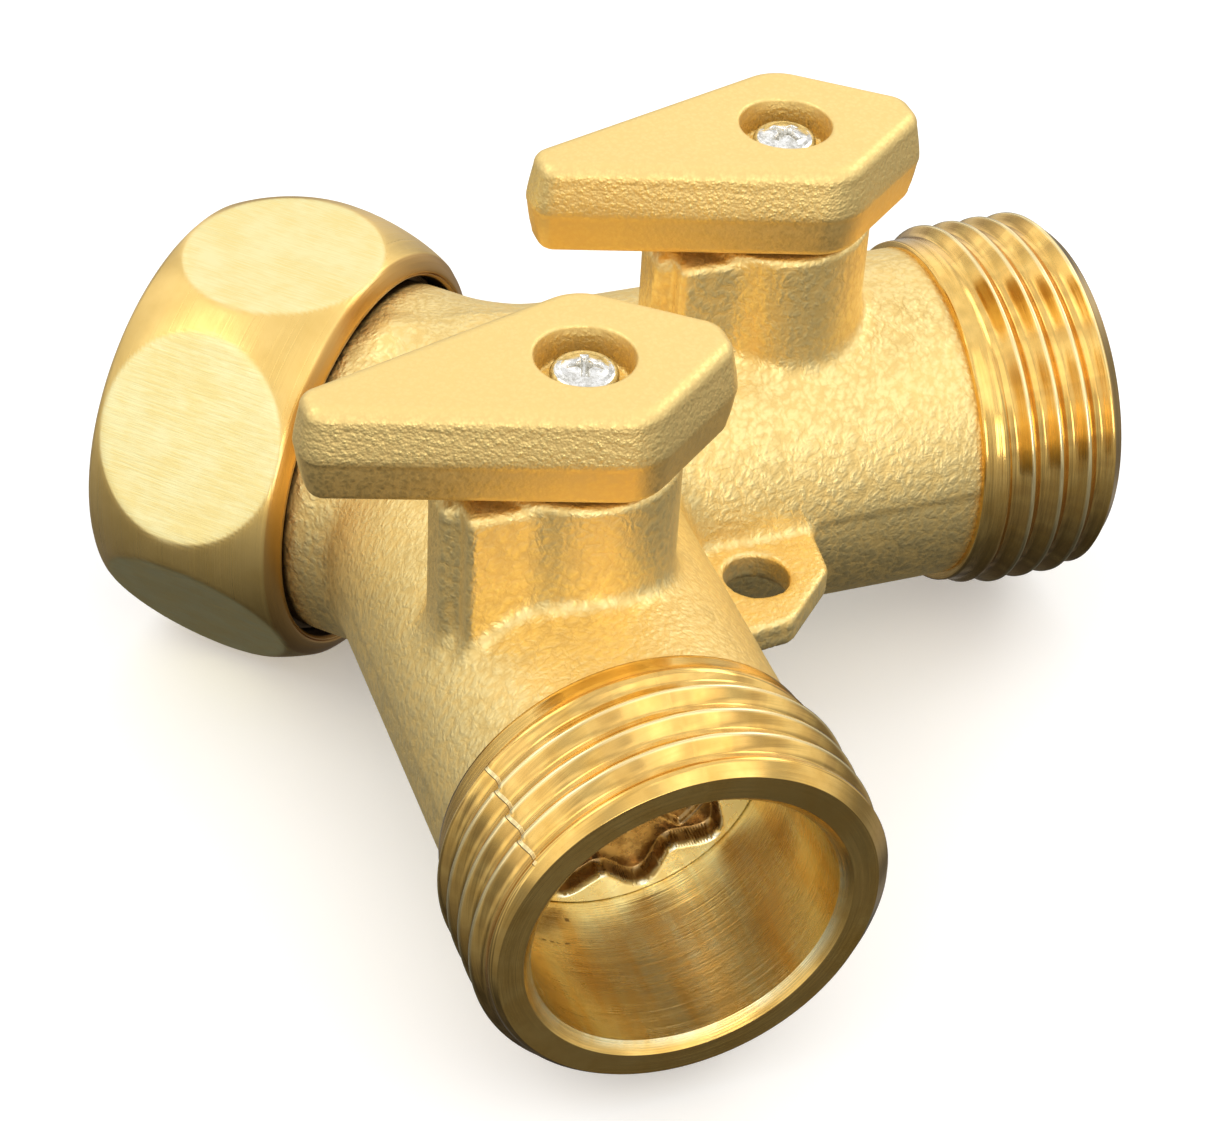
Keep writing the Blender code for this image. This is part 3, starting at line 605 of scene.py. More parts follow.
cast = cast_material()
blasted = handle_material()
turned = turned_material("turned_brass_look")
marked = turned_material("marked_brass_look", True)
nut_look = nut_material()
chrome = chrome_material()
spring = plain_material("spring_steel_look", 2200, (0.40, 0.41, 0.42), (0.56, 0.56, 0.56),
                        (0.24, 0.42), 0.01, 0.5)
ptfe = plain_material("ptfe_look", 700, (0.86, 0.84, 0.78), (0.93, 0.92, 0.88), (0.36, 0.5),
                      0.02, 0.5, metallic=0.0, Subsurface_Weight=0.1)
rubber = plain_material("rubber_look", 3500, (0.012, 0.012, 0.012), (0.04, 0.04, 0.038),
                        (0.5, 0.75), 0.03, metallic=0.0)
machined = plain_material("machined_brass_look", 1800, TURNED_LIGHT, TURNED_DEEP,
                          (0.22, 0.4), 0.015)
retainer_look = ring_material()


# -------- the casting as a distance field
def smooth_min(a, b, k):
    """The smaller of two fields, rounded over the width k where they cross."""
    h = np.maximum(k - np.abs(a - b), 0) / k
    return np.minimum(a, b) - h * h * k / 4


def smooth_max(a, b, k):
    return -smooth_min(-a, -b, k)


def box_field(x, y, z, low, high, rounding):
    centre = [(a + b) / 2 for a, b in zip(low, high)]
    half = [(b - a) / 2 - rounding for a, b in zip(low, high)]
    q = [np.abs(v - c) - h for v, c, h in zip((x, y, z), centre, half)]
    outside = np.sqrt(sum(np.maximum(v, 0) ** 2 for v in q))
    return outside + np.minimum(np.maximum.reduce(q), 0) - rounding


def leg_fields(x, y, z, side):
    """The leg's tube, with the parting step along its sides, and its hollows."""
    s = COS * (x + side * y)
    w = COS * (side * x - y)
    r = np.sqrt(w * w + z * z)
    step = PARTING_STEP * np.tanh((z - PARTING) / 0.1)
    tube = smooth_max(r - LEG_R - step, s - LEG_END - 0.4, 0.4)
    tube = np.maximum(tube, -2 - s)
    bore = np.maximum(r - PASSAGE_R, -s)
    room = np.maximum(r - CHAMBER_R, VALVE - CHAMBER_R - s)
    mouth = np.maximum(r - OUTLET_POCKET_R, BORE_BACK - s)
    return tube, np.minimum(np.minimum(bore, room), mouth)


def boss_fields(x, y, z, side):
    """A valve boss with the lug and the rib beside it, and its hollows."""
    px, py = x - STEM_OFFSET, y - side * STEM_OFFSET
    r = np.sqrt(px * px + py * py)
    boss = smooth_max(r - BOSS_R, z - BOSS_TOP, 0.5)
    boss = np.maximum(boss, -z)
    cx, cy = math.cos(HANDLE_TURN), math.sin(HANDLE_TURN)
    u, v = px * cx + py * cy, -px * cy + py * cx
    lug = box_field(u, v, z, *LUG_BOX, 0.45)
    rib = box_field(u, v, z, *RIB_BOX, 0.9)
    head = smooth_min(smooth_min(boss, lug, 0.7), rib, 0.6)
    head = smooth_max(head, z - BOSS_TOP, 0.5)
    well = np.maximum(r - STEM_BORE_R, -z)
    pocket = np.maximum(r - STEM_POCKET_R, np.maximum(z - STEM_POCKET_TOP, -z))
    return head, np.minimum(well, pocket)


def tab_field(x, y, z):
    """The flat tab between the legs, with its hole."""
    edges = None
    outline = np.array(TAB_OUTLINE)
    for a, b in zip(outline, np.roll(outline, -1, 0)):
        along = unit(b - a)
        edge = (x - a[0]) * along[1] - (y - a[1]) * along[0]
        edges = edge if edges is None else smooth_max(edges, edge, 0.3)
    plate = smooth_max(edges, np.abs(z - TAB_HEIGHT) - TAB_HALF, 0.35)
    hole = TAB_HOLE_R - np.sqrt((x - TAB_HOLE) ** 2 + y * y)
    return smooth_max(plate, hole, 0.3)


def casting(x, y, z):
    """Signed distance to the cast body's surface, in millimetres from the junction."""
    near, near_hollow = leg_fields(x, y, z, -1)
    far, far_hollow = leg_fields(x, y, z, 1)
    hollows = np.minimum(near_hollow, far_hollow)
    d = -x
    r = np.sqrt(y * y + z * z)
    elbow = np.sqrt(x * x + y * y + z * z) - ELBOW_R
    collar = smooth_max(r - COLLAR_R, d - COLLAR_END, 0.5)
    collar = np.maximum(collar, -d - 3)
    tail = smooth_max(r - TAIL_R, d - TAIL_END, 0.4)
    shape = smooth_min(smooth_min(near, far, 2.2), elbow, 2.0)
    shape = smooth_min(shape, collar, 0.8)
    shape = smooth_min(shape, np.maximum(tail, -d), 0.25)
    for side in (-1, 1):
        head, hollow = boss_fields(x, y, z, side)
        shape = smooth_min(shape, head, 1.1)
        hollows = np.minimum(hollows, hollow)
    shape = smooth_min(shape, tab_field(x, y, z), 0.9)
    lump = np.sqrt((x - LUMP[0]) ** 2 + (y - LUMP[1]) ** 2 + (z - LUMP[2]) ** 2) - LUMP_R
    shape = smooth_min(shape, lump, 1.6)
    inlet = np.maximum(r - INLET_R, np.maximum(x - 3, -d - 3))
    hollows = np.minimum(hollows, inlet)
    return smooth_max(shape, -hollows, 0.25)


CORNERS = np.array([(i & 1, i >> 1 & 1, i >> 2 & 1) for i in range(8)])
CELL_EDGES = [(a, b) for a in range(8) for b in range(a + 1, 8)
              if np.abs(CORNERS[a] - CORNERS[b]).sum() == 1]


def surface_net(field, low, high, step):
    """Quads over the zero surface of a field, one vertex in each cell that it crosses."""
    size = np.ceil((np.array(high) - low) / step).astype(int) + 1
    ticks = [low[i] + step * np.arange(size[i]) for i in range(3)]
    values = np.empty(size, np.float32)
    for k in range(0, size[2], 16):
        x, y, z = np.meshgrid(ticks[0], ticks[1], ticks[2][k:k + 16], indexing="ij")
        values[:, :, k:k + 16] = field(x, y, z)
    inside = values < 0
    count = np.zeros(size - 1, np.int8)
    for c in CORNERS:
        count += inside[tuple(slice(o, o + n - 1) for o, n in zip(c, size))]
    cells = np.argwhere((count > 0) & (count < 8))
    index = np.full(size - 1, -1, np.int64)
    index[tuple(cells.T)] = np.arange(len(cells))
    total = np.zeros((len(cells), 3))
    crossings = np.zeros(len(cells))
    for a, b in CELL_EDGES:
        va = values[tuple((cells + CORNERS[a]).T)].astype(float)
        vb = values[tuple((cells + CORNERS[b]).T)].astype(float)
        hit = (va < 0) != (vb < 0)
        t = np.where(hit, va / np.where(hit, va - vb, 1), 0)[:, None]
        total += np.where(hit[:, None], CORNERS[a] * (1 - t) + CORNERS[b] * t, 0)
        crossings += hit
    points = np.array(low) + step * (cells + total / crossings[:, None])
    quads = []
    for axis in range(3):
        one, two = (axis + 1) % 3, (axis + 2) % 3
        first = [slice(1, n - 1) for n in size]
        first[axis] = slice(0, size[axis] - 1)
        second = list(first)
        second[axis] = slice(1, size[axis])
        changed = inside[tuple(first)] != inside[tuple(second)]
        at = np.argwhere(changed)
        for other in (one, two):
            at[:, other] += 1
        start = inside[tuple(at.T)]
        corners = []
        for da, db in ((1, 1), (0, 1), (0, 0), (1, 0)):
            cell = at.copy()
            cell[:, one] -= da
            cell[:, two] -= db
            corners.append(index[tuple(cell.T)])
        quad = np.stack(corners, 1)
        quad[~start] = quad[~start][:, ::-1]
        quads.append(quad)
    return points, np.vstack(quads)


def gradient(field, p, step=0.02):
    value = field(*p.T)
    slopes = []
    for axis in range(3):
        moved = p.copy()
        moved[:, axis] += step
        back = p.copy()
        back[:, axis] -= step
        slopes.append((field(*moved.T) - field(*back.T)) / (2 * step))
    return value, np.stack(slopes, 1)


def onto(field, points, limit, rounds=3):
    """Moves points onto the zero surface, each no further than the limit per round."""
    for _ in range(rounds):
        value, slope = gradient(field, points)
        square = np.maximum((slope ** 2).sum(1), 0.05)
        move = -value[:, None] * slope / square[:, None]
        length = np.linalg.norm(move, axis=1, keepdims=True)
        points = points + move * np.minimum(1, limit / np.maximum(length, 1e-9))
    return points


def relaxed(points, quads, amount):
    total = np.zeros_like(points)
    count = np.zeros(len(points))
    for i in range(4):
        a, b = quads[:, i], quads[:, (i + 1) % 4]
        np.add.at(total, a, points[b])
        np.add.at(total, b, points[a])
        np.add.at(count, a, 1)
        np.add.at(count, b, 1)
    return points + amount * (total / count[:, None] - points)


lowest = BOSS_TOP - 91.5 * GRID  # so that the boss tops lie in the middle of a layer of cells
points, quads = surface_net(casting, (*CAST_LOW, lowest), CAST_HIGH, GRID)
for _ in range(2):
    points = onto(casting, relaxed(points, quads, 0.5), 0.3, 1)
points = onto(casting, points, 0.2, 2)
add_piece(make_mesh("cast_body", points, quads), cast, "root", ["y_body"])


# -------- threaded outlets
def thread_height(distance):
    """From 1 on the crest to 0 in the root, by the distance along the axis."""
    at, height = zip(*THREAD)
    return np.interp(np.abs(distance), at, height)


def merged(mesh):
    """The mesh with the points that lie on each other made one."""
    shape = bmesh.new()
    shape.from_mesh(mesh)
    bmesh.ops.remove_doubles(shape, verts=shape.verts, dist=0.00002 * MM)
    shape.to_mesh(mesh)
    shape.free()
    return mesh


def outlet(name, side, start, look, nick=None):
    """The machined end of a leg: its rows follow the thread, so that each crest is one edge."""
    columns = 288
    angle = round_the_axis(columns)
    first, last = LEG_END + 0.3, FACE - FACE_EDGE
    half = np.array([0.08, 0.14, 0.32, 0.55, 0.8, 0.9, 1.0])
    marks = np.concatenate([-half[::-1], half])
    begin = math.floor((first - start) / PITCH) - 2
    end = math.ceil((last - start) / PITCH) + 2
    rows = (start + PITCH * np.arange(begin, end)[:, None] + marks).ravel()
    along = np.clip(rows[:, None] + PITCH * angle / TAU, first, last)
    turns = (along - (start + PITCH * angle / TAU)) / PITCH
    offset = (turns - np.round(turns)) * PITCH
    fade = np.clip((along - LEG_END - 0.9) / 1.6, 0, 1)
    fade = fade * fade * (3 - 2 * fade)
    radius = ROOT_R + (CREST_R - ROOT_R) * thread_height(offset) * fade
    if nick is not None:
        column = round(nick / TAU * columns)
        radius[:, column] = np.minimum(radius[:, column], CREST_R - 0.2)
    radius = smooth_min(radius, FACE_R + (FACE - along), 0.1)
    count = len(rows)
    grid = np.arange(count * columns).reshape(count, columns)
    shifted = np.minimum(np.arange(count) + len(marks), count - 1)
    right = np.hstack([grid[:, 1:], grid[shifted, :1]])
    quads = np.stack([grid[:-1], right[:-1], right[1:], grid[1:]], -1).reshape(-1, 4)

    low_end = radius[0].max()
    back = rounded([(last, FACE_R + FACE_EDGE, 0), (FACE, FACE_R, 0.05), (FACE, MOUTH_R, 0.06),
                    (FACE - MOUTH_DEPTH, BORE_R, 0.12), (BORE_BACK, BORE_R, 0),
                    (BORE_BACK, SLEEVE_BACK_R + 0.05, 0), (SLEEVE_STEP, SLEEVE_BACK_R, 0),
                    (SLEEVE_STEP, SLEEVE_R, 0), (LEG_END + 0.02, SLEEVE_R, 0),
                    (LEG_END, ROOT_R - 0.14, 0), (LEG_END + 0.05, ROOT_R - 0.03, 0),
                    (first, low_end, 0)], 4)
    path = refined(back, 0.55)
    path = path[:np.argmin(np.hypot(*(path - (first, low_end)).T)) + 1]
    ring_s, ring_r = swept(path, columns)
    ring_r[0] = radius[-1]
    ring_r[-1] = radius[0]
    more = loop_quads(len(path), columns, False) + count * columns
    along = np.vstack([along, ring_s])
    radius = np.vstack([radius, ring_r])
    mesh = ring_mesh(name, leg_axes(side), along, radius, angle, np.vstack([quads, more]))
    add_piece(merged(mesh), look, "root", ["y_body"])


outlet("near_outlet", -1, NEAR_CREST, marked, NICK_ANGLE)
outlet("far_outlet", 1, FAR_CREST, turned)


# -------- swivel nut
def nut():
    """A crowned barrel cut by six flats, with a web and a female thread inside."""
    columns = 360
    angle = round_the_axis(columns)
    middle = (NUT_FRONT + NUT_BACK) / 2
    span = np.linspace(NUT_FRONT + 0.28, NUT_BACK - 0.28, 66)
    s = np.concatenate([[NUT_FRONT, NUT_FRONT + 0.03, NUT_FRONT + 0.1], span,
                        [NUT_BACK - 0.1, NUT_BACK - 0.03, NUT_BACK]])
    barrel = CROWN_R - CROWN_ARC + np.sqrt(CROWN_ARC ** 2 - (s - middle) ** 2)
    edge = np.minimum(s - NUT_FRONT, NUT_BACK - s)
    lip = np.clip(NUT_EDGE - edge, 0, NUT_EDGE)
    barrel = barrel - (NUT_EDGE - np.sqrt(np.maximum(NUT_EDGE ** 2 - lip ** 2, 0)))
    cut = np.clip(NUT_CHAMFER - (s - NUT_FRONT), 0, NUT_CHAMFER)
    barrel = barrel - cut * NUT_CHAMFER_SLOPE
    wrapped = (angle + TAU / 12) % (TAU / 6) - TAU / 12
    flats = FLAT_R / np.cos(wrapped)
    along = np.repeat(s[:, None], columns, 1)
    b = np.repeat(barrel[:, None], columns, 1)
    f = np.repeat(flats[None, :], len(s), 0)
    radius = smooth_min(b, f, 0.16)
    mask = np.clip((b - f) / 0.12 + 0.5, 0, 1)
    inner = rounded([(NUT_BACK, FEMALE_R + 1.0, 0.2), (NUT_BACK, FEMALE_R + 0.6, 0.1),
                     (NUT_BACK - 0.9, FEMALE_R, 0), (WEB_BACK + 0.1, FEMALE_R, 0.2),
                     (WEB_BACK, WEB_R, 0.15), (WEB_FRONT, WEB_R, 0.15),
                     (WEB_FRONT, NUT_COLLAR_R, 0.2), (NUT_FRONT + 0.3, NUT_COLLAR_R, 0.05),
                     (NUT_FRONT, NUT_COLLAR_R + 0.25, 0)], 4)
    rows_s, rows_r = swept(refined(inner, 0.14), columns)
    turns = (rows_s - FEMALE_START) / PITCH + angle / TAU
    offset = (turns - np.round(turns)) * PITCH
    ridge = thread_height(offset)
    end = NUT_BACK - 0.5
    female = (rows_s > WEB_BACK + 0.05) & (rows_s < end) & (rows_r > FEMALE_R - 0.3)
    fade = np.clip((rows_s - FEMALE_START - 0.6) / 1.4, 0, 1)
    fade = fade * np.clip((end - rows_s) / 0.9, 0, 1)
    rows_r = np.where(female, rows_r + 0.4 - ridge * fade, rows_r)
    along = np.vstack([along, rows_s])
    radius = np.vstack([radius, rows_r])
    mesh = ring_mesh("swivel_nut_turned", INLET_AXES, along, radius, angle)
    flat = np.zeros(along.shape)
    flat[:len(s)] = mask
    add_values(mesh, "flat", flat)
    facet = np.floor((angle + TAU / 12) / (TAU / 6))
    tangent = FLAT_R * np.tan(wrapped)
    brushed = np.stack([along, np.broadcast_to(tangent, along.shape),
                        np.broadcast_to(facet * 7.3, along.shape)], -1)
    add_vectors(mesh, "brushed", brushed)
    add_piece(mesh, nut_look, "nut", ["swivel_nut"])


nut()


# -------- valve handles
def outline_radius(angle, inset):
    """Distance from the stem axis to the handle's outline, moved inwards by the inset."""
    corners = np.array(OUTLINE + [(x, -y) for x, y in OUTLINE[::-1]])
    rounding = OUTLINE_ROUNDING + OUTLINE_ROUNDING[::-1]
    n = len(corners)
    lines = []
    for i in range(n):
        a, b = corners[i], corners[(i + 1) % n]
        along = unit(b - a)
        normal = np.array((-along[1], along[0]))
        lines.append((normal, float(normal @ a)))
    if lines[0][1] < 0:
        lines = [(-v, -c) for v, c in lines]
    moved = [(v, c - inset) for v, c in lines]
    points = []
    for i in range(n):
        (v1, c1), (v2, c2) = moved[i - 1], moved[i]
        rho = max(rounding[i] - inset, 0.12)
        centre = np.linalg.solve(np.array([v1, v2]), np.array([c1 - rho, c2 - rho]))
        a0, a1 = math.atan2(v1[1], v1[0]), math.atan2(v2[1], v2[0])
        turn = (a1 - a0 + math.pi) % TAU - math.pi
        for k in range(17):
            t = a0 + turn * k / 16
            points.append(centre + rho * np.array((math.cos(t), math.sin(t))))
    points = np.array(points)
    theta = np.arctan2(points[:, 1], points[:, 0]) % TAU
    order = np.argsort(theta)
    theta, points = theta[order], points[order]
    theta = np.concatenate([[theta[-1] - TAU], theta, [theta[0] + TAU]])
    points = np.vstack([points[-1:], points, points[:1]])
    at = np.clip(np.searchsorted(theta, angle % TAU, "right"), 1, len(theta) - 1)
    a, b = points[at - 1], points[at]
    ray = np.stack([np.cos(angle), np.sin(angle)], -1)
    edge = b - a
    cross = ray[:, 0] * edge[:, 1] - ray[:, 1] * edge[:, 0]
    return (a[:, 0] * edge[:, 1] - a[:, 1] * edge[:, 0]) / cross


def handle_angles():
    """Directions from the stem axis, closer together round the outline's corners."""
    base = np.linspace(0, TAU, 4001)
    density = np.ones_like(base)
    for x, y in OUTLINE:
        for sign in (1, -1):
            middle = math.atan2(sign * y, x) % TAU
            gap = (base - middle + math.pi) % TAU - math.pi
            density += 5 * np.exp(-(gap / 0.1) ** 2)
    total = np.concatenate([[0], np.cumsum((density[1:] + density[:-1]) / 2)])
    total /= total[-1]
    return np.interp(np.arange(420) / 420, total, base)


def handle(name, stem, body):
    """A lever with a parting line round its sides and a well for the screw in its top."""
    angle = handle_angles()
    foot = HANDLE_SHIFT + HANDLE_FOOT_EDGE
    # Each row is an inset, a share of the way from the hub to the outline, and a height.
    rows = [(foot, k / 9, HANDLE_BOTTOM) for k in range(1, 9)]
    for k in range(7):
        t = k / 6 * math.pi / 2
        rows.append((HANDLE_SHIFT + HANDLE_FOOT_EDGE * (1 - math.sin(t)), 1.0,
                     HANDLE_BOTTOM + HANDLE_FOOT_EDGE * (1 - math.cos(t))))
    for z, inset in ((21.6, 0.30), (22.3, 0.18), (22.9, 0.10), (23.15, 0.07), (23.3, 0.02),
                     (23.45, 0.0), (23.7, 0.02), (24.2, 0.09), (24.8, 0.2), (25.4, 0.32)):
        rows.append((inset, 1.0, z))
    for k in range(9):
        t = k / 8 * math.pi / 2
        rows.append((HANDLE_LEAN + HANDLE_EDGE * (1 - math.cos(t)), 1.0,
                     HANDLE_TOP - HANDLE_EDGE * (1 - math.sin(t))))
    for k in range(12, 0, -1):
        rows.append((HANDLE_LEAN + HANDLE_EDGE, k / 12.5, HANDLE_TOP))
    radii = [np.full(len(angle), r) for r in (3.3, 3.45)]
    heights = [HANDLE_BOTTOM, HANDLE_BOTTOM]
    for inset, share, z in rows:
        edge = outline_radius(angle, inset)
        radii.append(edge if share == 1.0 else HANDLE_HUB + (edge - HANDLE_HUB) * share)
        heights.append(z)
    for k in range(6):
        t = k / 5 * math.pi / 2
        radii.append(np.full(len(angle), WELL_R + WELL_LIP * (1 - math.sin(t))))
        heights.append(HANDLE_TOP - WELL_LIP * (1 - math.cos(t)))
    # The well's wall and floor, then the bore for the stem.
    for r, z in ((WELL_R, 26.0), (WELL_R, 25.4), (WELL_R, 24.8), (WELL_R - 0.03, 24.62),
                 (WELL_R - 0.1, 24.48), (WELL_R - 0.25, WELL_FLOOR), (2.5, WELL_FLOOR),
                 (1.75, WELL_FLOOR), (1.6, WELL_FLOOR - 0.05), (1.55, WELL_FLOOR - 0.15),
                 (1.55, 23.7), (3.0, 23.65), (3.2, 23.55), (3.2, 22.0), (3.2, 20.4)):
        radii.append(np.full(len(angle), r))
        heights.append(z)
    radius = np.array(radii)
    height = np.repeat(np.array(heights)[:, None], len(angle), 1)
    points = round_stem(stem, radius, angle + HANDLE_TURN, height)
    mesh = make_mesh(name, points, loop_quads(*radius.shape))
    below = np.clip((HANDLE_PARTING + 0.3 - height) / 0.5, 0, 1) * (radius > HANDLE_HUB)
    wall = np.clip((HANDLE_TOP - HANDLE_EDGE * 0.4 - height) / 0.5, 0, 1) * (1 - below)
    flat = np.clip((height - HANDLE_TOP + 0.3) / 0.3, 0, 1)
    add_vectors(mesh, "band", np.stack([below, wall, flat], -1))
    add_piece(mesh, blasted, body, [name.replace("_lever", "_handle")])


handle("near_lever", near_stem, "near_valve")
handle("far_lever", far_stem, "far_valve")


# -------- handle screws
def screw(name, stem, body, turn):
    """A pan head with a cross recess, over its plain shank."""
    columns = 96
    angle = round_the_axis(columns)
    base, side = SCREW_BASE, SCREW_R - 0.02
    radii = [SHANK_R, SHANK_R, 1.9, side, SCREW_R, side]
    heights = [18.2, base, base, base + 0.1, base + 0.35, base + 0.55]
    for k in range(1, 7):
        t = k / 6
        radii.append(side - 0.45 * (1 - math.cos(t * math.pi / 2)))
        heights.append(base + 0.55 + 0.6 * math.sin(t * math.pi / 2))
    top = np.arange(len(radii) + 26)[:, None] >= len(radii)
    for r in np.linspace(1.52, 0.03, 26):
        radii.append(r)
        heights.append(base + 1.15 + (SCREW_HEIGHT - 1.15) * (1 - (r / 1.6) ** 2))
    radius = np.repeat(np.array(radii)[:, None], columns, 1)
    z = np.repeat(np.array(heights)[:, None], columns, 1)
    x, y = np.abs(radius * np.cos(angle)), np.abs(radius * np.sin(angle))
    arm = np.minimum(np.maximum(x - RECESS_REACH, y - RECESS_HALF_WIDTH),
                     np.maximum(y - RECESS_REACH, x - RECESS_HALF_WIDTH))
    pit = np.minimum(arm, np.hypot(x, y) - RECESS_CORE_R)
    depth = np.clip(-pit / 0.16, 0, 1)
    slope = 0.35 + 0.65 * np.clip(1 - radius / 1.15, 0, 1)
    z = z - np.where(top, depth * slope * 1.2, 0)
    points = round_stem(stem, radius, angle + turn, z)
    rows = len(radii)
    quads = loop_quads(rows, columns, False)
    caps = []
    for first, flip in ((0, True), ((rows - 1) * columns, False)):
        for i in range(columns // 2 - 1):
            quad = [first + i, first + i + 1, first + columns - 2 - i, first + columns - 1 - i]
            caps.append(quad[::-1] if flip else quad)
    mesh = make_mesh(name, points, np.vstack([quads, caps]))
    add_piece(mesh, chrome, body,
              [name.replace("_cross_screw", "_handle_screw")])


screw("near_cross_screw", near_stem, "near_valve", math.radians(28))
screw("far_cross_screw", far_stem, "far_valve", math.radians(-12))


# -------- seat retainers and rings
def retainer(name, side):
    """A slotted ring that clamps the outer seat at the back of the outlet's bore."""
    columns = 360
    angle = round_the_axis(columns)
    low, high = RETAINER_BACK, RETAINER_FRONT
    floor = low + 0.55
    profile = rounded([(low, RETAINER_R, 0), (high, RETAINER_R, 0.08),
                       (high, RETAINER_HOLE_R, 0), (low, RETAINER_HOLE_R, 0)], 3)
    profile = refined(profile, 0.12)
    along, radius = swept(profile, columns)
    turned_angle = angle - RETAINER_TURN
    scallop = LOBE_R + LOBE_DEPTH * np.cos(LOBES * turned_angle)
    rim = np.clip((radius - scallop) / 0.14 + 0.5, 0, 1)
    wrapped = (turned_angle + TAU / LOBES) % (2 * TAU / LOBES) - TAU / LOBES
    offset = radius * np.sin(wrapped)
    slot = np.clip((1.3 - np.abs(offset)) / 0.12, 0, 1)
    slot = slot * np.clip((7.9 - radius) / 0.15, 0, 1) * np.clip((radius - 5.4) / 0.15, 0, 1)
    share = (along - low) / (high - low)
    along = low + share * (floor - low + (high - floor) * rim) * (1 - 0.8 * slot)
    mesh = ring_mesh(name, leg_axes(side), along, radius, angle)
    cad = name.replace("_lock_ring", "_seat_retainer")
    add_piece(mesh, retainer_look, "root", [cad])


retainer("near_lock_ring", -1)
retainer("far_lock_ring", 1)


def seat(name, side):
    """A cupped PTFE seat outside the ball."""
    back, front = VALVE + 7.9, VALVE + 3.9
    profile = rounded([(back, SEAT_R, 0.2), (back, SEAT_HOLE_R, 0.3),
                       (VALVE + 5.62, SEAT_HOLE_R, 0.15), (VALVE + 4.05, 6.3, 0.1),
                       (front, 6.7, 0.1), (front, SEAT_R, 0.2)], 4)
    mesh = lathe(name, leg_axes(side), refined(profile, 0.6))
    add_piece(mesh, ptfe, "root", [name.replace("_ball_seat", "_outer_seat")])


seat("near_ball_seat", -1)
seat("far_ball_seat", 1)

# The inlet washer lies against the web inside the nut.
washer_near = -(washer_high.x - JUNCTION.x) / MM
washer_far = -(washer_low.x - JUNCTION.x) / MM
washer_profile = rounded([(washer_near, WASHER_HOLE_R, 0.25), (washer_near, WASHER_R, 0.35),
                          (washer_far, WASHER_R, 0.35), (washer_far, WASHER_HOLE_R, 0.25)], 5)
add_piece(lathe("inlet_seal", INLET_AXES, refined(washer_profile, 0.8)), rubber, "nut",
          ["inlet_washer"])

# The other CAD solids keep their shape and take a finer finish.
FINISHES = {"stem": machined, "ball": chrome, "inner_seat": ptfe, "thrust_washer": ptfe,
            "stem_o_ring_lower": rubber, "stem_o_ring_upper": rubber,
            "retaining_ring": spring}
for node_name, node in frame["nodes"].items():
    if node.hide_render:
        continue
    look = FINISHES[node_name.removeprefix("near_").removeprefix("far_")]
    if not node.data.materials:
        node.data.materials.append(look)
    for material_slot in node.material_slots:
        material_slot.material = look


# -------- floor, light and camera
scene = bpy.context.scene


def floor_piece():
    n = Nodes("floor_look")
    cloud = n.noise(n.place(), 3, 2, 0.5)
    colour = n.mix(cloud, (0.93, 0.93, 0.92), (0.95, 0.95, 0.945))
    n.finish(colour, 0.9, None, 0.0, Emission_Color=(1, 1, 1, 1), Emission_Strength=0.22)
    mesh = bpy.data.meshes.new("floor")
    ring = [(1.6 * math.cos(k * TAU / 64), 1.6 * math.sin(k * TAU / 64), cad_low.z - 0.0002)
            for k in range(64)]
    mesh.from_pydata(ring, [], [list(range(64))])
    mesh.materials.append(n.material)
    floor = bpy.data.objects.new("floor", mesh)
    scene.collection.objects.link(floor)
    floor.visible_glossy = False


floor_piece()

PANELS, PANEL_TURN, PANEL_CONTRAST = 13.0, 2.2, 0.5
SKY_TILT = 0.08
# Brightness by height, from straight down to straight up.
SKY = ((0.0, 0.04), (0.065, 0.07), (0.147, 0.15), (0.25, 0.22), (0.37, 0.36), (0.5, 0.58),
       (0.63, 0.84), (0.75, 0.98), (0.854, 0.97), (1.0, 0.97))

world = bpy.data.worlds.new("studio")
scene.world = world
world.use_nodes = True
tree = world.node_tree
tree.nodes.clear()


def sky(operation, *values):
    """A maths node of the studio's light."""
    node = tree.nodes.new("ShaderNodeMath")
    node.operation = operation
    for socket, value in zip(node.inputs, values):
        if isinstance(value, bpy.types.NodeSocket):
            tree.links.new(value, socket)
        else:
            socket.default_value = value
    return node.outputs[0]


direction = tree.nodes.new("ShaderNodeTexCoord")
split = tree.nodes.new("ShaderNodeSeparateXYZ")
tree.links.new(direction.outputs["Generated"], split.inputs[0])
ramp = tree.nodes.new("ShaderNodeValToRGB")
tree.links.new(sky("MULTIPLY_ADD", split.outputs["Z"], 0.5, 0.5), ramp.inputs["Fac"])
stops = ramp.color_ramp.elements
stops[0].position, stops[1].position = SKY[0][0], SKY[-1][0]
stops[0].color = (SKY[0][1],) * 3 + (1,)
stops[1].color = (SKY[-1][1],) * 3 + (1,)
for position, level in SKY[1:-1]:
    stops.new(position).color = (level, level, level, 1)
# Tall soft panels stand round the object, and the far left is brighter than the near right.
azimuth = sky("ARCTAN2", split.outputs["Y"], split.outputs["X"])
panels = sky("SINE", sky("ADD", sky("MULTIPLY", azimuth, PANELS), PANEL_TURN))
low_sky = sky("SUBTRACT", 1.0, sky("MULTIPLY", sky("MAXIMUM", split.outputs["Z"], 0.0), 0.7))
panels = sky("ADD", 1.0, sky("MULTIPLY", sky("MULTIPLY", panels, low_sky), PANEL_CONTRAST))
tilt = sky("SUBTRACT", split.outputs["Y"], split.outputs["X"])
tilt = sky("ADD", 1.0, sky("MULTIPLY", tilt, SKY_TILT))
glow = tree.nodes.new("ShaderNodeBackground")
tree.links.new(ramp.outputs[0], glow.inputs["Color"])
tree.links.new(sky("MULTIPLY", panels, tilt), glow.inputs["Strength"])
plain = tree.nodes.new("ShaderNodeBackground")
plain.inputs["Color"].default_value = (0.95, 0.95, 0.94, 1)
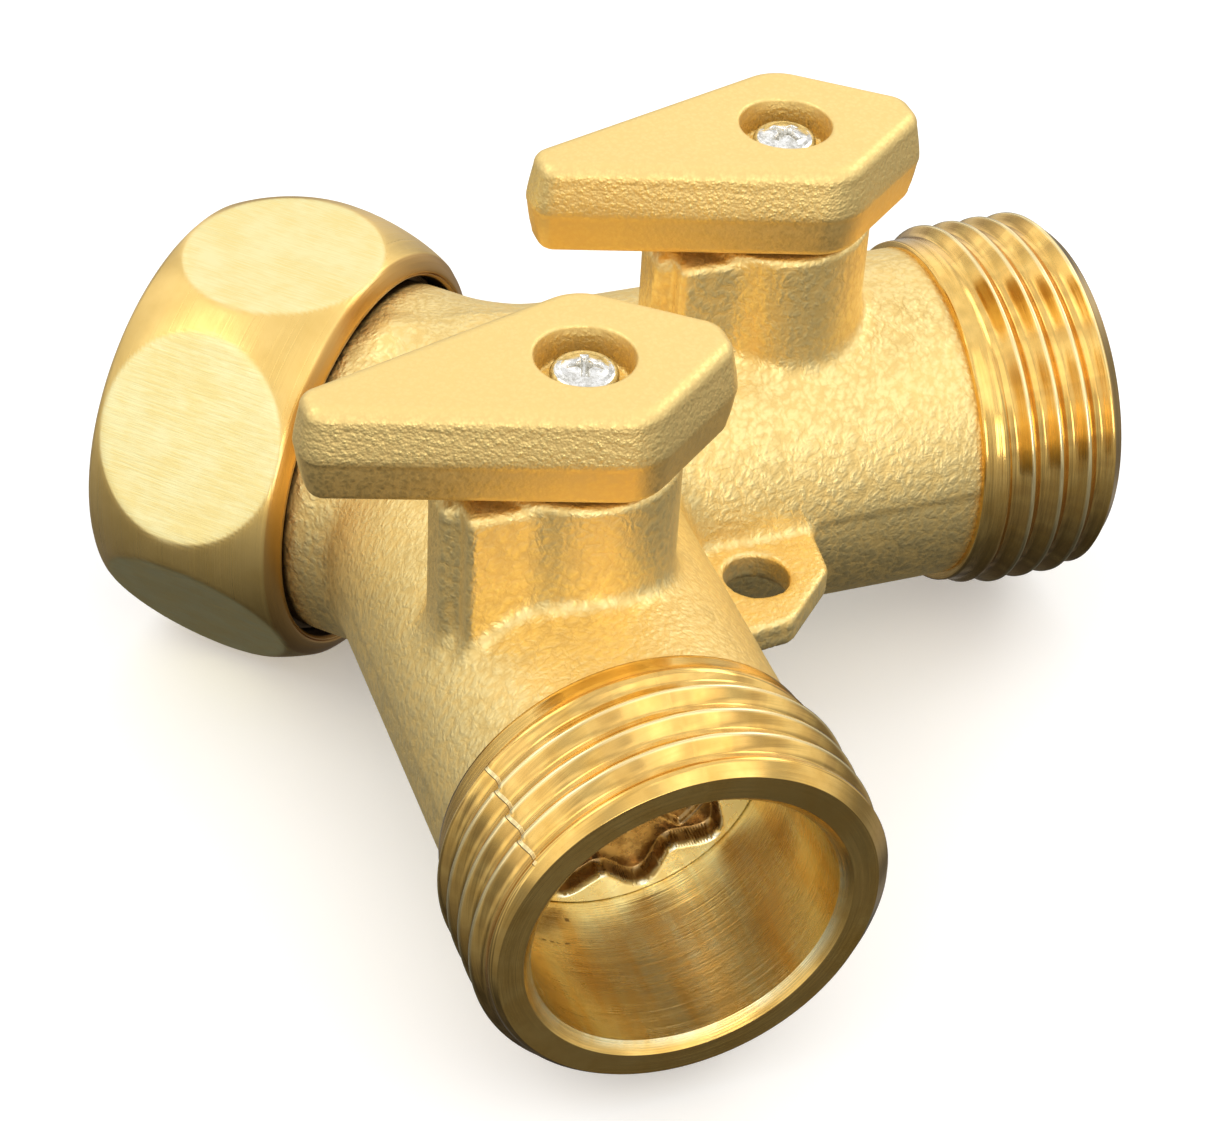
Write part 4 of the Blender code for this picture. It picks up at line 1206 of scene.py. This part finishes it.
seen = tree.nodes.new("ShaderNodeLightPath")
choice = tree.nodes.new("ShaderNodeMixShader")
tree.links.new(seen.outputs["Is Camera Ray"], choice.inputs[0])
tree.links.new(glow.outputs[0], choice.inputs[1])
tree.links.new(plain.outputs[0], choice.inputs[2])
output = tree.nodes.new("ShaderNodeOutputWorld")
tree.links.new(choice.outputs[0], output.inputs[0])


def direction_to(azimuth, elevation):
    a, e = math.radians(azimuth), math.radians(elevation)
    return Vector((math.sin(a) * math.cos(e), -math.cos(a) * math.cos(e), math.sin(e)))


def soft_light(name, azimuth, elevation, distance, width, height, power, colour=(1, 1, 1)):
    """A rectangular softbox that faces the object."""
    back = direction_to(azimuth, elevation)
    light = bpy.data.lights.new(name, "AREA")
    light.shape = "RECTANGLE"
    light.size, light.size_y = width, height
    light.energy = power
    light.color = colour
    lamp = bpy.data.objects.new(name, light)
    lamp.location = JUNCTION + back * distance
    lamp.rotation_mode = "QUATERNION"
    lamp.rotation_quaternion = (-back).to_track_quat("-Z", "Y")
    scene.collection.objects.link(lamp)


soft_light("key", -58, 52, 0.8, 0.45, 0.4, 0.7, (1.0, 0.98, 0.94))
soft_light("front", -19, 18, 0.8, 0.6, 0.5, 0.42, (1.0, 0.99, 0.96))
soft_light("right", 72, 46, 0.8, 0.6, 0.5, 0.55, (1.0, 0.99, 0.96))
soft_light("mouth", 42, 14, 0.8, 0.3, 0.3, 1.0, (1.0, 0.96, 0.90))
soft_light("back", 150, 40, 0.9, 0.5, 0.3, 0.8, (1.0, 0.99, 0.96))

# The camera looks down over the near outlet.
WIDTH, HEIGHT = 1214, 1121
AZIMUTH, ELEVATION, ROLL = 23.85, 39.1, math.radians(3.31)
DISTANCE, FOCAL = 225.61, 3133.79
CENTRE = Vector((8.41, 3.12, -5.04))
PRINCIPAL = (590.98, 555.93)
back = direction_to(AZIMUTH, ELEVATION)
right = Vector((0, 0, 1)).cross(back).normalized()
up = back.cross(right)
side_axis = right * math.cos(ROLL) + up * math.sin(ROLL)
up_axis = up * math.cos(ROLL) - right * math.sin(ROLL)
camera_data = bpy.data.cameras.new("camera")
camera = bpy.data.objects.new("camera", camera_data)
scene.collection.objects.link(camera)
place = Matrix((side_axis, up_axis, back)).transposed().to_4x4()
place.translation = JUNCTION + (CENTRE + back * DISTANCE) * MM
camera.matrix_world = place
camera_data.sensor_width = 36
camera_data.lens = FOCAL / WIDTH * 36
camera_data.shift_x = -(PRINCIPAL[0] - WIDTH / 2) / WIDTH
camera_data.shift_y = (PRINCIPAL[1] - HEIGHT / 2) / WIDTH
camera_data.clip_start = 0.01
camera_data.clip_end = 10
scene.camera = camera
scene.view_settings.view_transform = "Standard"
